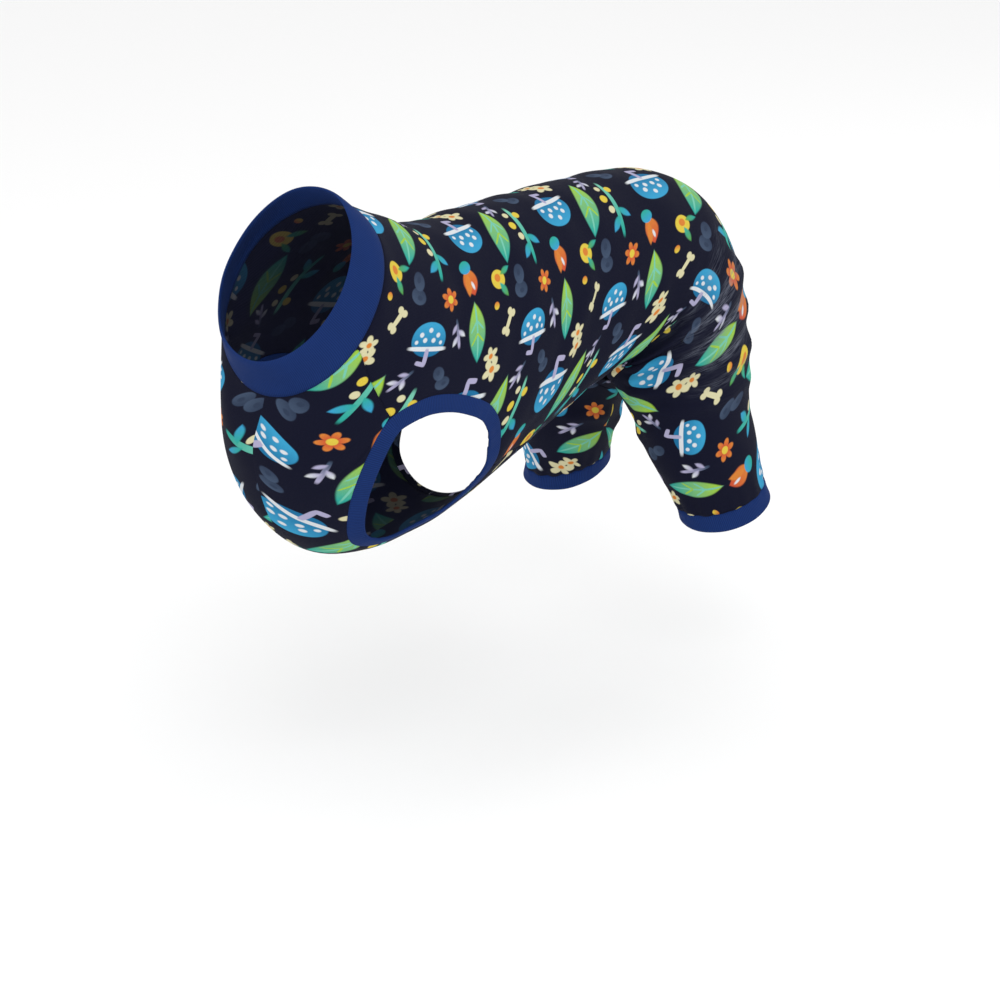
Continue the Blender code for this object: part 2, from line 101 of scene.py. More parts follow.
# Edge of the armhole, closed. The side seam meets it at SIDE_PLACE
ARMHOLE = (
    # row  degrees
    (2.70, 105),
    (3.12, 91),
    (3.75, 86),
    (4.40, 91),
    (4.88, 105),
    (5.18, 124),
    (5.02, 141),
    (4.45, 152),
    (3.75, 154),
    (3.18, 140),
    (2.78, 122),
)
SIDE_PLACE = 5
SHOULDER = ((NECK_ROW, 110), (1.85, 105), ARMHOLE[0])

# Edge of the opening under the belly, from the middle of the belly back to the seat seam
SIDE_SEAM_END = (5.86, 129)
OPENING_BELLY = ((5.60, 180), (5.60, 160), (5.64, 142), SIDE_SEAM_END)
OPENING_FLANK = (
    # row  degrees
    SIDE_SEAM_END,
    (6.30, 131),
    (6.95, 137),
    (7.80, 140),
    (8.70, 141),
    (9.50, 144),
    (10.20, 151),
    (11.00, 166),
    (11.90, 190),
    (12.90, 219),
    (13.60, 246),
    (FORK_ROW, 270),
)
OPENING_REAR = ((FORK_ROW, -90), (13.70, -72), (13.35, -54), (13.00, -42), (12.68, -41))

# Places whose distance to the seams is worked out at a time, which bounds the memory it takes
SEAM_BLOCK = 4000

JERSEY_THICKNESS = 0.0015
RIB_THICKNESS = 0.0026
HEM_THICKNESS = 0.0022


@dataclass(frozen=True)
class Fold:
    """A fold that runs straight between two places, with its width and height as shares."""

    name: str
    start: tuple[float, float]
    end: tuple[float, float]
    width: float
    height: float


FOLDS = (
    Fold("groin", (9.70, 146), (10.00, 112), 0.75, -1.00),
    Fold("groin_second", (9.95, 152), (10.22, 122), 0.42, -0.42),
    Fold("groin_third", (10.76, 158), (10.74, 118), 0.46, -0.40),
    Fold("haunch_first", (10.40, 150), (10.30, 62), 1.00, 0.62),
    Fold("haunch_second", (11.10, 158), (11.00, 58), 1.00, 0.90),
    Fold("haunch_third", (11.80, 166), (11.80, 56), 1.00, 0.90),
    Fold("haunch_fourth", (12.50, 176), (12.60, 58), 0.90, 0.72),
    Fold("thigh", (13.30, 184), (13.40, 60), 0.90, 0.45),
    Fold("inner_thigh", (14.30, 215), (14.60, 262), 0.80, 0.40),
    Fold("flank", (8.90, 134), (8.30, 78), 1.10, 0.34),
    Fold("behind_arm", (5.70, 108), (6.50, 70), 1.20, 0.30),
    Fold("over_shoulder", (2.30, 80), (3.10, 52), 1.10, 0.26),
    Fold("knee_rear", (15.10, -60), (15.40, 30), 0.90, 0.35),
)


def unit(vectors: Array) -> Array:
    """Return vectors at length one."""
    return vectors / np.linalg.norm(vectors, axis=-1, keepdims=True)


def smooth(points: Array, base: Array, share: Array) -> Array:
    """Blend four neighbouring rows of points: the Catmull-Rom curve from the second to the third.

    Args:
        points: Rows of control points.
        base: Index of the first of the four rows.
        share: Share of the way from the second row to the third.

    Returns:
        One blended row for each entry of base.
    """
    before, start, end, after = (points[base + k] for k in range(4))
    share = share[..., None]
    linear = (end - before) * share
    square = (2 * before - 5 * start + 4 * end - after) * share**2
    cube = (3 * start - before - 3 * end + after) * share**3
    return start + (linear + square + cube) / 2


def ease(value: Array, start: float, end: float) -> Array:
    """Return a smooth step from 1 at start to 0 at end."""
    share = np.clip((value - start) / (end - start), 0, 1)
    return 1 - share**2 * (3 - 2 * share)


def through(places: tuple[tuple[float, float], ...], closed: bool = False) -> Array:
    """Draw a fine smooth curve through places.

    Args:
        places: Rows and degrees.
        closed: Whether the curve runs back to its first place.

    Returns:
        Rows and radians, 40 for each span.
    """
    corners = np.array(places, float) * (1, math.radians(1))
    if closed:
        padded = np.vstack((corners[-1], corners, corners[:2]))
    else:
        padded = np.vstack((2 * corners[0] - corners[1], corners, 2 * corners[-1] - corners[-2]))
    count = len(padded) - 3
    share = np.linspace(0, count, 40 * count + 1)
    base = np.minimum(share.astype(int), count - 1)
    return smooth(padded, base, share - base)


@dataclass
class WornForm:
    """The inner face of the cloth on the wearer, with its folds."""

    back_length: float = 0.377
    chest_depth: float = 0.214
    chest_width: float = 0.161
    neck_seat: tuple[float, float] = (-0.270, 0.141)
    neck_depth: float = 0.140
    neck_width: float = 0.131
    neck_lean: float = math.radians(32.5)
    collar_width: float = 0.027
    collar_draw_throat: float = 0.017
    collar_draw_side: float = 0.012
    sleeve_length: float = 0.102
    cuff_depth: float = 0.076
    cuff_across: float = 0.065
    cuff_spacing: float = 0.154
    cuff_tilt: float = math.radians(15)
    cuff_width: float = 0.015
    cuff_back_y: float = 0.752
    seat_web: float = 0.030
    web_fade: tuple[float, float] = (CROTCH_ROW - 0.6, CROTCH_ROW + 0.9)
    fold_width: float = 0.0088
    fold_height: float = 0.0060
    seam_depth: float = 0.0006
    seam_width: float = 0.0022
    gather_height: float = 0.0011
    gather_count: int = 18
    gather_middle: float = 15.85
    gather_reach: float = 0.34
    wave_height: float = 0.0005
    long_wave: float = 0.062
    short_wave: float = 0.037
    sections: Array = field(init=False)
    seams: Array = field(init=False)
    fine_rows: Array = field(init=False)
    side_run: Array = field(init=False)
    table: tuple[Array, Array, Array, Array] = field(init=False)

    def __post_init__(self) -> None:
        """Work out the sections and the run along the outer side."""
        self.sections = self.section_table()
        self.fine_rows = np.linspace(0, LAST_ROW, 20 * LAST_ROW + 1)
        line = self.bare(self.fine_rows, np.full_like(self.fine_rows, QUARTER_TURN))
        self.side_run = np.append(0, np.cumsum(np.linalg.norm(np.diff(line, axis=0), axis=1)))
        self.table = self.cloth_table()
        side_seam = (ARMHOLE[SIDE_PLACE], SIDE_SEAM_END)
        curves = (through(ARMHOLE, closed=True), through(SHOULDER), through(side_seam))
        self.seams = np.vstack([self.flat(curve[:, 0], curve[:, 1]) for curve in curves])

    def section_table(self) -> Array:
        """Return the six measures of every section in metres, with one more row before and after.

        Returns:
            Six measures for each row.
        """
        scale = np.array((self.back_length, self.chest_depth) * 2 + (self.chest_width,) * 2)
        trunk = np.array([row[1:] for row in TRUNK_SECTIONS]) * scale

        seat = np.array(self.neck_seat) * scale[:2]
        down = np.array((-math.sin(self.neck_lean), -math.cos(self.neck_lean)))
        forward = np.array((-math.cos(self.neck_lean), math.sin(self.neck_lean)))
        neck = (*seat, *(seat + self.neck_depth * down), self.neck_width / 2, 0)
        rise = math.sqrt(self.collar_width**2 - self.collar_draw_side**2)
        top = seat + rise * forward
        depth = self.neck_depth - self.collar_draw_throat
        edge = (*top, *(top + depth * down), self.neck_width / 2 - self.collar_draw_side, 0)

        crotch = trunk[-1]
        heel = np.array((self.cuff_back_y * self.back_length, crotch[1] - self.sleeve_length))
        toe = heel - self.cuff_depth * np.array((math.cos(self.cuff_tilt), math.sin(self.cuff_tilt)))
        cuff = np.array((*heel, *toe, self.cuff_across / 2, self.cuff_spacing / 2))
        sleeve = crotch + np.array([row[1:] for row in SLEEVE_SECTIONS]) * (cuff - crotch)

        step = cuff - sleeve[-1]
        middle_step = np.array((step[5], (step[0] + step[2]) / 2, (step[1] + step[3]) / 2))
        along_x, along_y, along_z = self.cuff_width * unit(middle_step)
        last = cuff + np.array((along_y, along_z, along_y, along_z, 0, along_x))
        table = np.vstack((edge, neck, trunk, sleeve, cuff, last))
        return np.vstack((2 * table[0] - table[1], table, 2 * table[-1] - table[-2]))

    def measures(self, row: Array) -> Array:
        """Return the six measures of the section at each fractional row.

        Args:
            row: Rows of the sections.

        Returns:
            The six measures, on the first axis.
        """
        row = np.asarray(row, float)
        base = np.clip(np.floor(row).astype(int), 0, LAST_ROW - 1)
        return np.moveaxis(smooth(self.sections, base, row - base), -1, 0)

    def bare(self, row: Array, angle: Array) -> Array:
        """Return points of the form without folds: back and belly point blended by the angle's cosine.

        Args:
            row: Fractional rows.
            angle: Angles in radians.

        Returns:
            Points, with the cleft of the seat bridged by rounding x near the mirror plane.
        """
        back_y, back_z, belly_y, belly_z, half, centre = self.measures(row)
        x = centre + half * np.sin(angle)
        along = np.cos(angle)
        web = np.minimum(self.seat_web, 2 * centre) * ease(row, *self.web_fade)
        bridged = web / 2 + x**2 / np.maximum(2 * web, 1e-9)
        share = np.clip((bridged - centre) / half, -1, 1)
        on_web = (angle < QUARTER_TURN) & (np.abs(x) < web)
        along = np.where(on_web, np.sqrt(1 - share**2), along)
        y = (back_y + belly_y + (back_y - belly_y) * along) / 2
        z = (back_z + belly_z + (back_z - belly_z) * along) / 2
        return np.stack((x, y, z), -1)

    def mean_radius(self, row: Array) -> Array:
        """Return the mean radius of the section, which turns an angle into a length."""
        back_y, back_z, belly_y, belly_z, half, _ = self.measures(row)
        return (half + np.hypot(back_y - belly_y, back_z - belly_z) / 2) / 2

    def flat(self, row: Array, angle: Array) -> Array:
        """Return the place in a plane where lengths are about those on the form."""
        along = np.interp(row, self.fine_rows, self.side_run)
        return np.stack((along, (angle - QUARTER_TURN) * self.mean_radius(row)), -1)

    def cloth_table(self) -> tuple[Array, Array, Array, Array]:
        """Measure the form along its rows and round its sections, for the cloth's own coordinates.

        Returns:
            Rows and angles of the table, the run at each place along its angle, and the girth at each
            place from the back line.
        """
        rows = np.linspace(0, LAST_ROW, 8 * LAST_ROW + 1)
        angles = np.radians(np.arange(-135, 271, 3.0))
        points = self.bare(*np.meshgrid(rows, angles, indexing="ij"))
        along = np.linalg.norm(np.diff(points, axis=0), axis=-1)
        run = np.vstack((np.zeros(len(angles)), np.cumsum(along, axis=0)))
        round_step = np.linalg.norm(np.diff(points, axis=1), axis=-1)
        girth = np.hstack((np.zeros((len(rows), 1)), np.cumsum(round_step, axis=1)))
        back = np.searchsorted(angles, 0)
        return rows, angles, run, girth - girth[:, back : back + 1]

    def cloth_place(self, row: Array, angle: Array) -> Array:
        """Return a place's own coordinates on the cloth: the run along the wearer, and the girth.

        The run is 60% of the run on the outer side and 40% of the run at the place's own angle, because
        the cloth is partly gathered where the rows crowd at the groin.

        Args:
            row: Rows of the places.
            angle: Angles of the places.

        Returns:
            Run and girth from the back, in metres, on the last axis.
        """
        rows, angles, run, girth = self.table
        low_row = np.clip(row / (rows[1] - rows[0]), 0, len(rows) - 1.001)
        low_angle = np.clip((angle - angles[0]) / (angles[1] - angles[0]), 0, len(angles) - 1.001)
        i, j = low_row.astype(int), low_angle.astype(int)
        s, t = low_row - i, low_angle - j

        def read(grid: Array) -> Array:
            """Return the table's value between its four nearest entries.

            Args:
                grid: The table.

            Returns:
                A value for each place.
            """
            upper = grid[i, j] * (1 - t) + grid[i, j + 1] * t
            lower = grid[i + 1, j] * (1 - t) + grid[i + 1, j + 1] * t
            return upper * (1 - s) + lower * s

        side = np.interp(row, self.fine_rows, self.side_run)
        return np.stack((0.6 * side + 0.4 * read(run), read(girth)), -1)

    def tightness_and_fold_light(self, row: Array, angle: Array) -> Array:
        """Return how tight the cloth is pulled, from 0 to 1: over the haunch, in arcs between its folds. The
        same share places painted highlights: light streaks that stand in for the light on the haunch's folds.

        Args:
            row: Rows of the places.
            angle: Angles of the places.

        Returns:
            A share for each place.
        """
        over = ease(np.abs(row - 11.5), 0.2, 2.3) * ease(np.abs(angle - math.radians(88)), 0.1, 1.0)
        # The arcs between the folds also place the painted fold highlights on the haunch.
        arcs = 0.5 + 0.5 * np.cos(FULL_TURN * (row - 11.44) / 0.72)
        return over * (0.08 + 0.92 * arcs**1.4)

    def fold_lift(self, row: Array, angle: Array) -> Array:
        """Return how far the folds lift the cloth: a bell curve of the distance to each fold's line.

        Args:
            row: Rows of the places.
            angle: Angles of the places.

        Returns:
            Heights in metres, below zero in a crease.
        """
        turns = (0, FULL_TURN, -FULL_TURN)
        place = np.stack([self.flat(row, angle + turn) for turn in turns])
        lift = np.zeros(place.shape[1:-1])
        for fold in FOLDS:
            start = self.flat(fold.start[0], math.radians(fold.start[1]))
            along = self.flat(fold.end[0], math.radians(fold.end[1])) - start
            share = np.clip((place - start) @ along / (along @ along), 0, 1)
            gap = np.linalg.norm(place - start - share[..., None] * along, axis=-1).min(axis=0)
            lift += fold.height * self.fold_height * np.exp(-((gap / (fold.width * self.fold_width)) ** 2))
        return lift

    def normals(self, surface: Callable[[Array, Array], Array], row: Array, angle: Array) -> Array:
        """Return outward unit normals of a surface from small steps in row and angle.

        Args:
            surface: Function from rows and angles to points.
            row: Rows of the places.
            angle: Angles of the places.

        Returns:
            Unit vectors.
        """
        step = 1e-3
        over_row = surface(row + step, angle) - surface(row - step, angle)
        over_angle = surface(row, angle + step) - surface(row, angle - step)
        return unit(np.cross(over_angle, over_row))

    def seam_gap(self, row: Array, angle: Array) -> Array:
        """Return the distance to the nearest seam: neck, shoulder, armhole, side or cuff.

        Args:
            row: Rows of the places.
            angle: Angles of the places.

        Returns:
            Distances in metres, in the plane of the flattened form.
        """
        place = self.flat(row, angle)
        flat_list = place.reshape(-1, 2)
        near = [
            np.linalg.norm(block[:, None] - self.seams[None], axis=-1).min(axis=1)
            for block in np.array_split(flat_list, len(flat_list) // SEAM_BLOCK + 1)
        ]
        gap = np.concatenate(near).reshape(place.shape[:-1])
        run = np.interp(row, self.fine_rows, self.side_run)
        for seam_row in (NECK_ROW, CUFF_ROW):
            gap = np.minimum(gap, np.abs(run - np.interp(seam_row, self.fine_rows, self.side_run)))
        return gap

    def fine_lift(self, row: Array, angle: Array) -> Array:
        """Return the small relief of sewn cloth: a groove along each seam, gathers at the cuffs, slow waves.

        The gathers are a cosine round the sleeve that dies away from the cuff's seam. The waves are two
        sines of the run, bent by a cosine of the angle, so that they meet smoothly at the back.

        Args:
            row: Rows of the places.
            angle: Angles of the places.

        Returns:
            Heights in metres.
        """
        groove = -self.seam_depth * np.exp(-((self.seam_gap(row, angle) / self.seam_width) ** 2))
        uneven = 0.65 + 0.35 * np.sin(2 * angle + 1)
        round_sleeve = np.cos(self.gather_count * angle + 1.3 * np.sin(3 * angle)) * uneven
        away = (row - self.gather_middle) / self.gather_reach
        gathers = self.gather_height * round_sleeve * np.exp(-(away**2))
        run = FULL_TURN * np.interp(row, self.fine_rows, self.side_run)
        long_waves = np.sin(run / self.long_wave + 1.8 * np.cos(2 * angle))
        short_waves = np.sin(run / self.short_wave + 2.4 * np.cos(3 * angle))
        return groove + gathers + self.wave_height * (long_waves + 0.6 * short_waves)

    def draped(self, row: Array, angle: Array) -> Array:
        """Return points of the form with its folds, lifted along the bare form's normals."""
        lift = (self.fold_lift(row, angle) + self.fine_lift(row, angle))[..., None]
        return self.bare(row, angle) + lift * self.normals(self.bare, row, angle)

    def middle_angle(self, row: Array) -> Array:
        """Return the angle at which the form meets the mirror plane at the back."""
        half, centre = self.measures(row)[4:]
        return -np.arcsin(np.clip(centre / half, 0, 1))

    def spaced(self, curve: Array, step: float) -> Array:
        """Return places on a curve, both ends kept, about a step apart on the form.

        Args:
            curve: Fine places along the curve.
            step: Distance between places, in metres.

        Returns:
            Evenly spaced places.
        """
        points = self.bare(curve[:, 0], curve[:, 1])
        run = np.append(0, np.cumsum(np.linalg.norm(np.diff(points, axis=0), axis=1)))
        marks = np.linspace(0, run[-1], max(2, round(run[-1] / step)) + 1)
        return np.stack([np.interp(marks, run, curve[:, k]) for k in range(2)], -1)


def rising(*curves: Array) -> Array:
    """Return curves joined into one whose rows never fall, so that its angle is a function of the row.

    Args:
        curves: Curves of rows and angles, in order.

    Returns:
        The joined curve.
    """
    joined = np.vstack(curves)
    joined[:, 0] = np.maximum.accumulate(joined[:, 0])
    return joined


@dataclass
class Cut:
    """The lines along which the jumpsuit is cut and sewn, on the left side of the form."""

    form: WornForm
    tail_hole: float = 0.040
    outer_edge: Array = field(init=False)
    under_edge: Array = field(init=False)
    armhole: Array = field(init=False)
    opening: Array = field(init=False)
    rear_edge: Array = field(init=False)
    belly_edge: Array = field(init=False)
    tail_half: float = field(init=False)

    def __post_init__(self) -> None:
        """Work out the lines."""
        hole = through(ARMHOLE, closed=True)
        side = SIDE_PLACE * 40
        shoulder = through(SHOULDER)
        side_seam = through((ARMHOLE[SIDE_PLACE], SIDE_SEAM_END))
        flank = through(OPENING_FLANK)
        sleeve = np.array(((FORK_ROW, 3 * QUARTER_TURN), (CUFF_ROW, 3 * QUARTER_TURN)))
        seat_angle = math.degrees(float(self.form.middle_angle(np.array(SEAT_ROW))))
        rear = through((*OPENING_REAR, (SEAT_ROW, seat_angle)))
        self.outer_edge = rising(shoulder, hole[: side + 1], side_seam, flank, sleeve)
        self.under_edge = rising(shoulder, hole[side:][::-1], side_seam)
        self.armhole = hole
        self.belly_edge = through(OPENING_BELLY)
        self.opening = np.vstack((self.belly_edge[:-1], flank[:-1], rear))
        self.rear_edge = rising(rear[::-1])
        back = self.form.measures(np.array((TAIL_ROW - 0.5, TAIL_ROW + 0.5)))[:2]
        self.tail_half = self.tail_hole / 2 / float(np.hypot(*(back[:, 1] - back[:, 0])))

    def back_rows(self, step: float) -> Array:
        """Return the rows of the back panel's lines: even on the side, a circle's at the tail hole.

        Args:
            step: Distance between lines on the outer side, in metres.

        Returns:
            Rows from the neck seam to the cuff seam.
        """
        low, high = TAIL_ROW - self.tail_half, TAIL_ROW + self.tail_half
        turn = np.linspace(HALF_TURN, 0, round(HALF_TURN * self.tail_hole / 2 / step) + 1)
        marks = (NECK_ROW, low, high, SEAT_ROW, SEAT_ROW + 0.25, FORK_ROW, CUFF_ROW)
        rows = [np.array((float(NECK_ROW),))]
        for start, end in zip(marks[:-1], marks[1:]):
            if start == low:
                rows.append(TAIL_ROW + self.tail_half * np.cos(turn[1:]))
                continue
            run = np.interp((start, end), self.form.fine_rows, self.form.side_run)
            count = max(4, round((run[1] - run[0]) / step))
            even = np.linspace(*run, count + 1)[1:]
            rows.append(np.append(np.interp(even[:-1], self.form.side_run, self.form.fine_rows), end))
        return np.concatenate(rows)

    def inner_angle(self, rows: Array) -> Array:
        """Return where the back panel ends inwards: in the middle, at the tail hole or at the rear edge.

        Args:
            rows: Rows of the lines.

        Returns:
            An angle for each row.
        """
        middle = self.form.middle_angle(rows)
        reach = self.tail_hole / 2 / self.form.measures(rows)[4]
        share = np.clip((rows - TAIL_ROW) / self.tail_half, -1, 1)
        tail = middle + reach * np.sqrt(1 - share**2)
        rear = np.interp(rows, self.rear_edge[:, 0], self.rear_edge[:, 1])
        return np.where(rows > SEAT_ROW, rear, tail)

    def back_grid(self, step: float, columns: int) -> tuple[Array, Array]:
        """Return rows and angles of the back panel's left half: lines of equal row, evenly divided.

        Args:
            step: Distance between lines, in metres.
            columns: Number of cells along a line.

        Returns:
            Rows and angles, each a grid.
        """
        rows = self.back_rows(step)
        share = np.linspace(0, 1, columns + 1)
        start = self.inner_angle(rows)[:, None]
        end = np.interp(rows, self.outer_edge[:, 0], self.outer_edge[:, 1])[:, None]
        angles = start + (end - start) * share
        return np.broadcast_to(rows[:, None], angles.shape).copy(), angles

    def belly_grid(self, lines: int, columns: int) -> tuple[Array, Array]:
        """Return rows and angles of the belly panel's left half, whose last line is the opening's edge.

        Args:
            lines: Number of cells along the wearer.
            columns: Number of cells across.

        Returns:
            Rows and angles, each a grid.
        """
        rows = np.linspace(NECK_ROW, SIDE_SEAM_END[0], lines + 1)[:, None]
        share = np.linspace(0, 1, columns + 1)
        start = np.interp(rows, self.under_edge[:, 0], self.under_edge[:, 1])
        angles = start + (HALF_TURN - start) * share
        edge = self.belly_edge[::-1]
        drop = SIDE_SEAM_END[0] - np.interp(angles, edge[:, 1], edge[:, 0])
        pull = 1 - ease(rows, SIDE_SEAM_END[0] - 1.6, SIDE_SEAM_END[0])
        return rows - drop * pull, angles

    def tail_edge(self) -> Array:
        """Return the tail hole's edge on the left, from its rear round to its front.

        Returns:
            Rows and angles, on the last axis.
        """
        turn = np.linspace(0, HALF_TURN, 200)
        rows = TAIL_ROW + self.tail_half * np.cos(turn)
        reach = self.tail_hole / 2 / self.form.measures(rows)[4]
        return np.stack((rows, self.form.middle_angle(rows) + reach * np.sin(turn)), -1)


def linear(colour: str) -> tuple[float, float, float, float]:
    """Turn an sRGB hex colour into linear red, green, blue and alpha."""
    parts = [int(colour[k : k + 2], 16) / 255 for k in (1, 3, 5)]
    return (*[p / 12.92 if p <= 0.04045 else ((p + 0.055) / 1.055) ** 2.4 for p in parts], 1.0)


def new_object(name: str, points: Array, faces: Array) -> bpy.types.Object:
    """Add a smooth mesh object.

    Args:
        name: The object's name.
        points: Corners, one row each.
        faces: Quads as rows of corner numbers, facing outwards.

    Returns:
        The object, at the origin.
    """
    mesh = bpy.data.meshes.new(name)
    mesh.from_pydata(points.reshape(-1, 3).tolist(), [], faces.tolist())
    mesh.shade_smooth()
    item = bpy.data.objects.new(name, mesh)
    bpy.context.scene.collection.objects.link(item)
    return item


def set_uv(mesh: bpy.types.Mesh, name: str, places: Array) -> None:
    """Give a mesh a UV map from one place for each corner point.

    Args:
        mesh: The mesh.
        name: The map's name.
        places: A place for each corner point.
    """
    corner = np.empty(len(mesh.loops), int)
    mesh.loops.foreach_get("vertex_index", corner)
    layer = mesh.uv_layers.new(name=name)
    layer.data.foreach_set("uv", places.reshape(-1, 2)[corner].ravel())


def grid_faces(lines: int, columns: int, first: int = 0) -> Array:
    """Return the quads of a grid of points numbered line by line."""
    index = first + np.arange(lines * columns).reshape(lines, columns)
    return np.stack((index[:-1, :-1], index[:-1, 1:], index[1:, 1:], index[1:, :-1]), -1).reshape(-1, 4)


def merge_doubles(item: bpy.types.Object, distance: float = 1e-5) -> None:
    """Make coinciding corners one, so that the two halves are sewn into one smooth sheet.

    Args:
        item: The object.
        distance: Corners closer than this are made one.
    """
    shape = bmesh.new()
    shape.from_mesh(item.data)
    bmesh.ops.remove_doubles(shape, verts=shape.verts, dist=distance)
    shape.to_mesh(item.data)
    shape.free()


def add_node(
    tree: bpy.types.NodeTree,
    kind: str,
    settings: dict | None = None,
    **links: object,
) -> bpy.types.Node:
    """Add a node with its settings and what goes into it.

    Args:
        tree: The material's node tree.
        kind: The node's type.
        settings: Properties of the node.
        links: For each input, by its name or as i0, i1 and so on, a socket to link or a value to set.

    Returns:
        The node.
    """
    node = tree.nodes.new(kind)
    for key, value in (settings or {}).items():
        setattr(node, key, value)
    for key, value in links.items():
        number = key[1:]
        numbered = key[0] == "i" and number.isdigit()
        socket = node.inputs[int(number) if numbered else key.replace("_", " ")]
        if isinstance(value, bpy.types.NodeSocket):
            tree.links.new(value, socket)
        else:
            socket.default_value = value
    return node


class Outline(Enum):
    """The outline of one inked shape, in its own coordinates where its half sizes are one."""

    ROUND = "round"
    LEAF = "leaf"
    BAR = "bar"


@dataclass(frozen=True)
class Ink:
    """One flat shape of the print, in millimetres from the middle of its motif."""

    colour: str
    place: tuple[float, float]
    half: tuple[float, float]
    turn: float = 0.0
    outline: Outline = Outline.ROUND
    fade_to: str | None = None


def ring_of(count: int, radius: float, shape: Ink, start: float = 0.0) -> tuple[Ink, ...]:
    """Return copies of a shape in a ring, each turned to point outwards.

    Args:
        count: How many copies.
        radius: The ring's radius.
        shape: The shape that is copied. Its place isn't used.
        start: Angle of the first copy, in degrees.

    Returns:
        The copies.
    """
    turns = [start + 360 * k / count for k in range(count)]
    return tuple(
        Ink(
            shape.colour,
            (radius * math.cos(math.radians(turn)), radius * math.sin(math.radians(turn))),
            shape.half,
            turn - 90,
            shape.outline,
            shape.fade_to,
        )
        for turn in turns
    )


SKY, DEEP_SKY, WHITE, LILAC = "#3fa9d8", "#2277a8", "#e9eef2", "#b9b4d6"
TEAL, LIME, MINT, LEAF_GREEN = "#35b3a4", "#a8d548", "#7fd3b8", "#5fae5a"
YELLOW, CREAM, ORANGE, RED = "#ecd24d", "#e6e0b4", "#e58a3c", "#d95a3a"
SLATE, DIM = "#46566f", "#35425a"

UMBRELLA = (
    Ink(SKY, (0, 2), (13.5, 11.5), 0, Outline.ROUND, DEEP_SKY),
    Ink(WHITE, (-6.5, 5), (1.6, 1.6)),
    Ink(WHITE, (0, 8.2), (1.6, 1.6)),
    Ink(WHITE, (6.5, 5), (1.6, 1.6)),
    Ink(WHITE, (-3.3, 1.6), (1.6, 1.6)),
    Ink(WHITE, (3.3, 1.6), (1.6, 1.6)),
    Ink(WHITE, (-9.5, 0), (1.3, 1.3)),
    Ink(WHITE, (9.5, 0), (1.3, 1.3)),
    Ink(WHITE, (0, -4.2), (14.2, 1.5), 0, Outline.BAR),
    Ink(LILAC, (0, -9.5), (1.5, 5.5), 0, Outline.BAR),
    Ink(LILAC, (2.6, -14.2), (3.6, 1.5), 12, Outline.BAR),
)
LONG_LEAF = (
    Ink(TEAL, (0, 0), (6.6, 19), 0, Outline.LEAF, LIME),
    Ink(MINT, (0, -1), (0.7, 17), 0, Outline.BAR),
    Ink(LIME, (-2.4, 4), (0.6, 4.2), 38, Outline.BAR),
    Ink(LIME, (2.4, 4), (0.6, 4.2), -38, Outline.BAR),
    Ink(MINT, (-2.6, -4), (0.6, 4.2), 38, Outline.BAR),
    Ink(MINT, (2.6, -4), (0.6, 4.2), -38, Outline.BAR),
)
TWIG = (
    Ink(TEAL, (0, 0), (1.5, 19), 4, Outline.BAR, MINT),
    Ink(SKY, (-4.6, 11), (2.3, 6.0), 48, Outline.LEAF, TEAL),
    Ink(CREAM, (-4.4, 2), (2.4, 2.4)),
    Ink(YELLOW, (-5.6, -6), (2.7, 2.7)),
    Ink(YELLOW, (3.8, -11.5), (2.4, 2.4)),
    Ink(SKY, (4.2, 6), (2.1, 5.2), -46, Outline.LEAF, TEAL),
    Ink(CREAM, (-3.6, -14), (2.0, 2.0)),
)
LEMON = (
    Ink(YELLOW, (0, 0), (6.0, 5.2), 10),
    Ink(ORANGE, (-0.8, -0.6), (2.6, 2.2), 10),
    Ink(LEAF_GREEN, (6.2, 4.4), (1.9, 5.2), -60, Outline.LEAF, TEAL),
    Ink(TEAL, (5.0, -6.0), (1.7, 4.6), -130, Outline.LEAF, LEAF_GREEN),
)
TULIP = (
    Ink(RED, (0, 0), (5.2, 8.4), 0, Outline.LEAF, ORANGE),
    Ink(ORANGE, (-2.2, 1.6), (2.3, 6.2), 14, Outline.LEAF),
    Ink(SKY, (0, -8.6), (4.4, 3.8), 0, Outline.ROUND, TEAL),
    Ink(WHITE, (0.8, 3.0), (0.9, 2.4), -8),
)
DAISY = (
    *ring_of(5, 3.6, Ink(CREAM, (0, 0), (2.0, 3.0))),
    Ink(ORANGE, (0, 0), (1.8, 1.8)),
)
POM = (
    *ring_of(6, 3.8, Ink(ORANGE, (0, 0), (1.7, 2.6), 0, Outline.ROUND, RED), 15),
    Ink(YELLOW, (0, 0), (2.2, 2.2)),
)
PEBBLES = (
    Ink(SLATE, (0, 3), (5.4, 4.4), 15, Outline.ROUND, DIM),
    Ink(SLATE, (-2, -5), (4.0, 5.4), -20, Outline.ROUND, DIM),
    Ink(DIM, (1.0, 3.6), (1.8, 1.4)),
    Ink(DIM, (-2.4, -6), (1.4, 2.0)),
)
BONE = (
    Ink(CREAM, (0, 0), (1.5, 5.0), 0, Outline.BAR),
    Ink(CREAM, (-1.7, 5.2), (2.0, 2.0)),
    Ink(CREAM, (1.7, 5.2), (2.0, 2.0)),
    Ink(CREAM, (-1.7, -5.2), (2.0, 2.0)),
    Ink(CREAM, (1.7, -5.2), (2.0, 2.0)),
)
SPRIG = (
    Ink(LILAC, (0, 0), (1.0, 8.0), 0, Outline.BAR, SLATE),
    Ink(WHITE, (-2.4, 3.4), (1.3, 3.2), 40, Outline.LEAF, LILAC),
    Ink(WHITE, (2.4, 0.6), (1.3, 3.2), -40, Outline.LEAF, LILAC),
    Ink(LILAC, (-2.2, -3.2), (1.2, 3.0), 42, Outline.LEAF),
)
DOT = (Ink(YELLOW, (0, 0), (2.1, 2.1), 0, Outline.ROUND, ORANGE),)


@dataclass(frozen=True)
class Motif:
    """A motif at its place in the repeat, in millimetres, turned by degrees and scaled."""

    inks: tuple[Ink, ...]
    place: tuple[float, float]
    turn: float = 0.0
    scale: float = 1.0


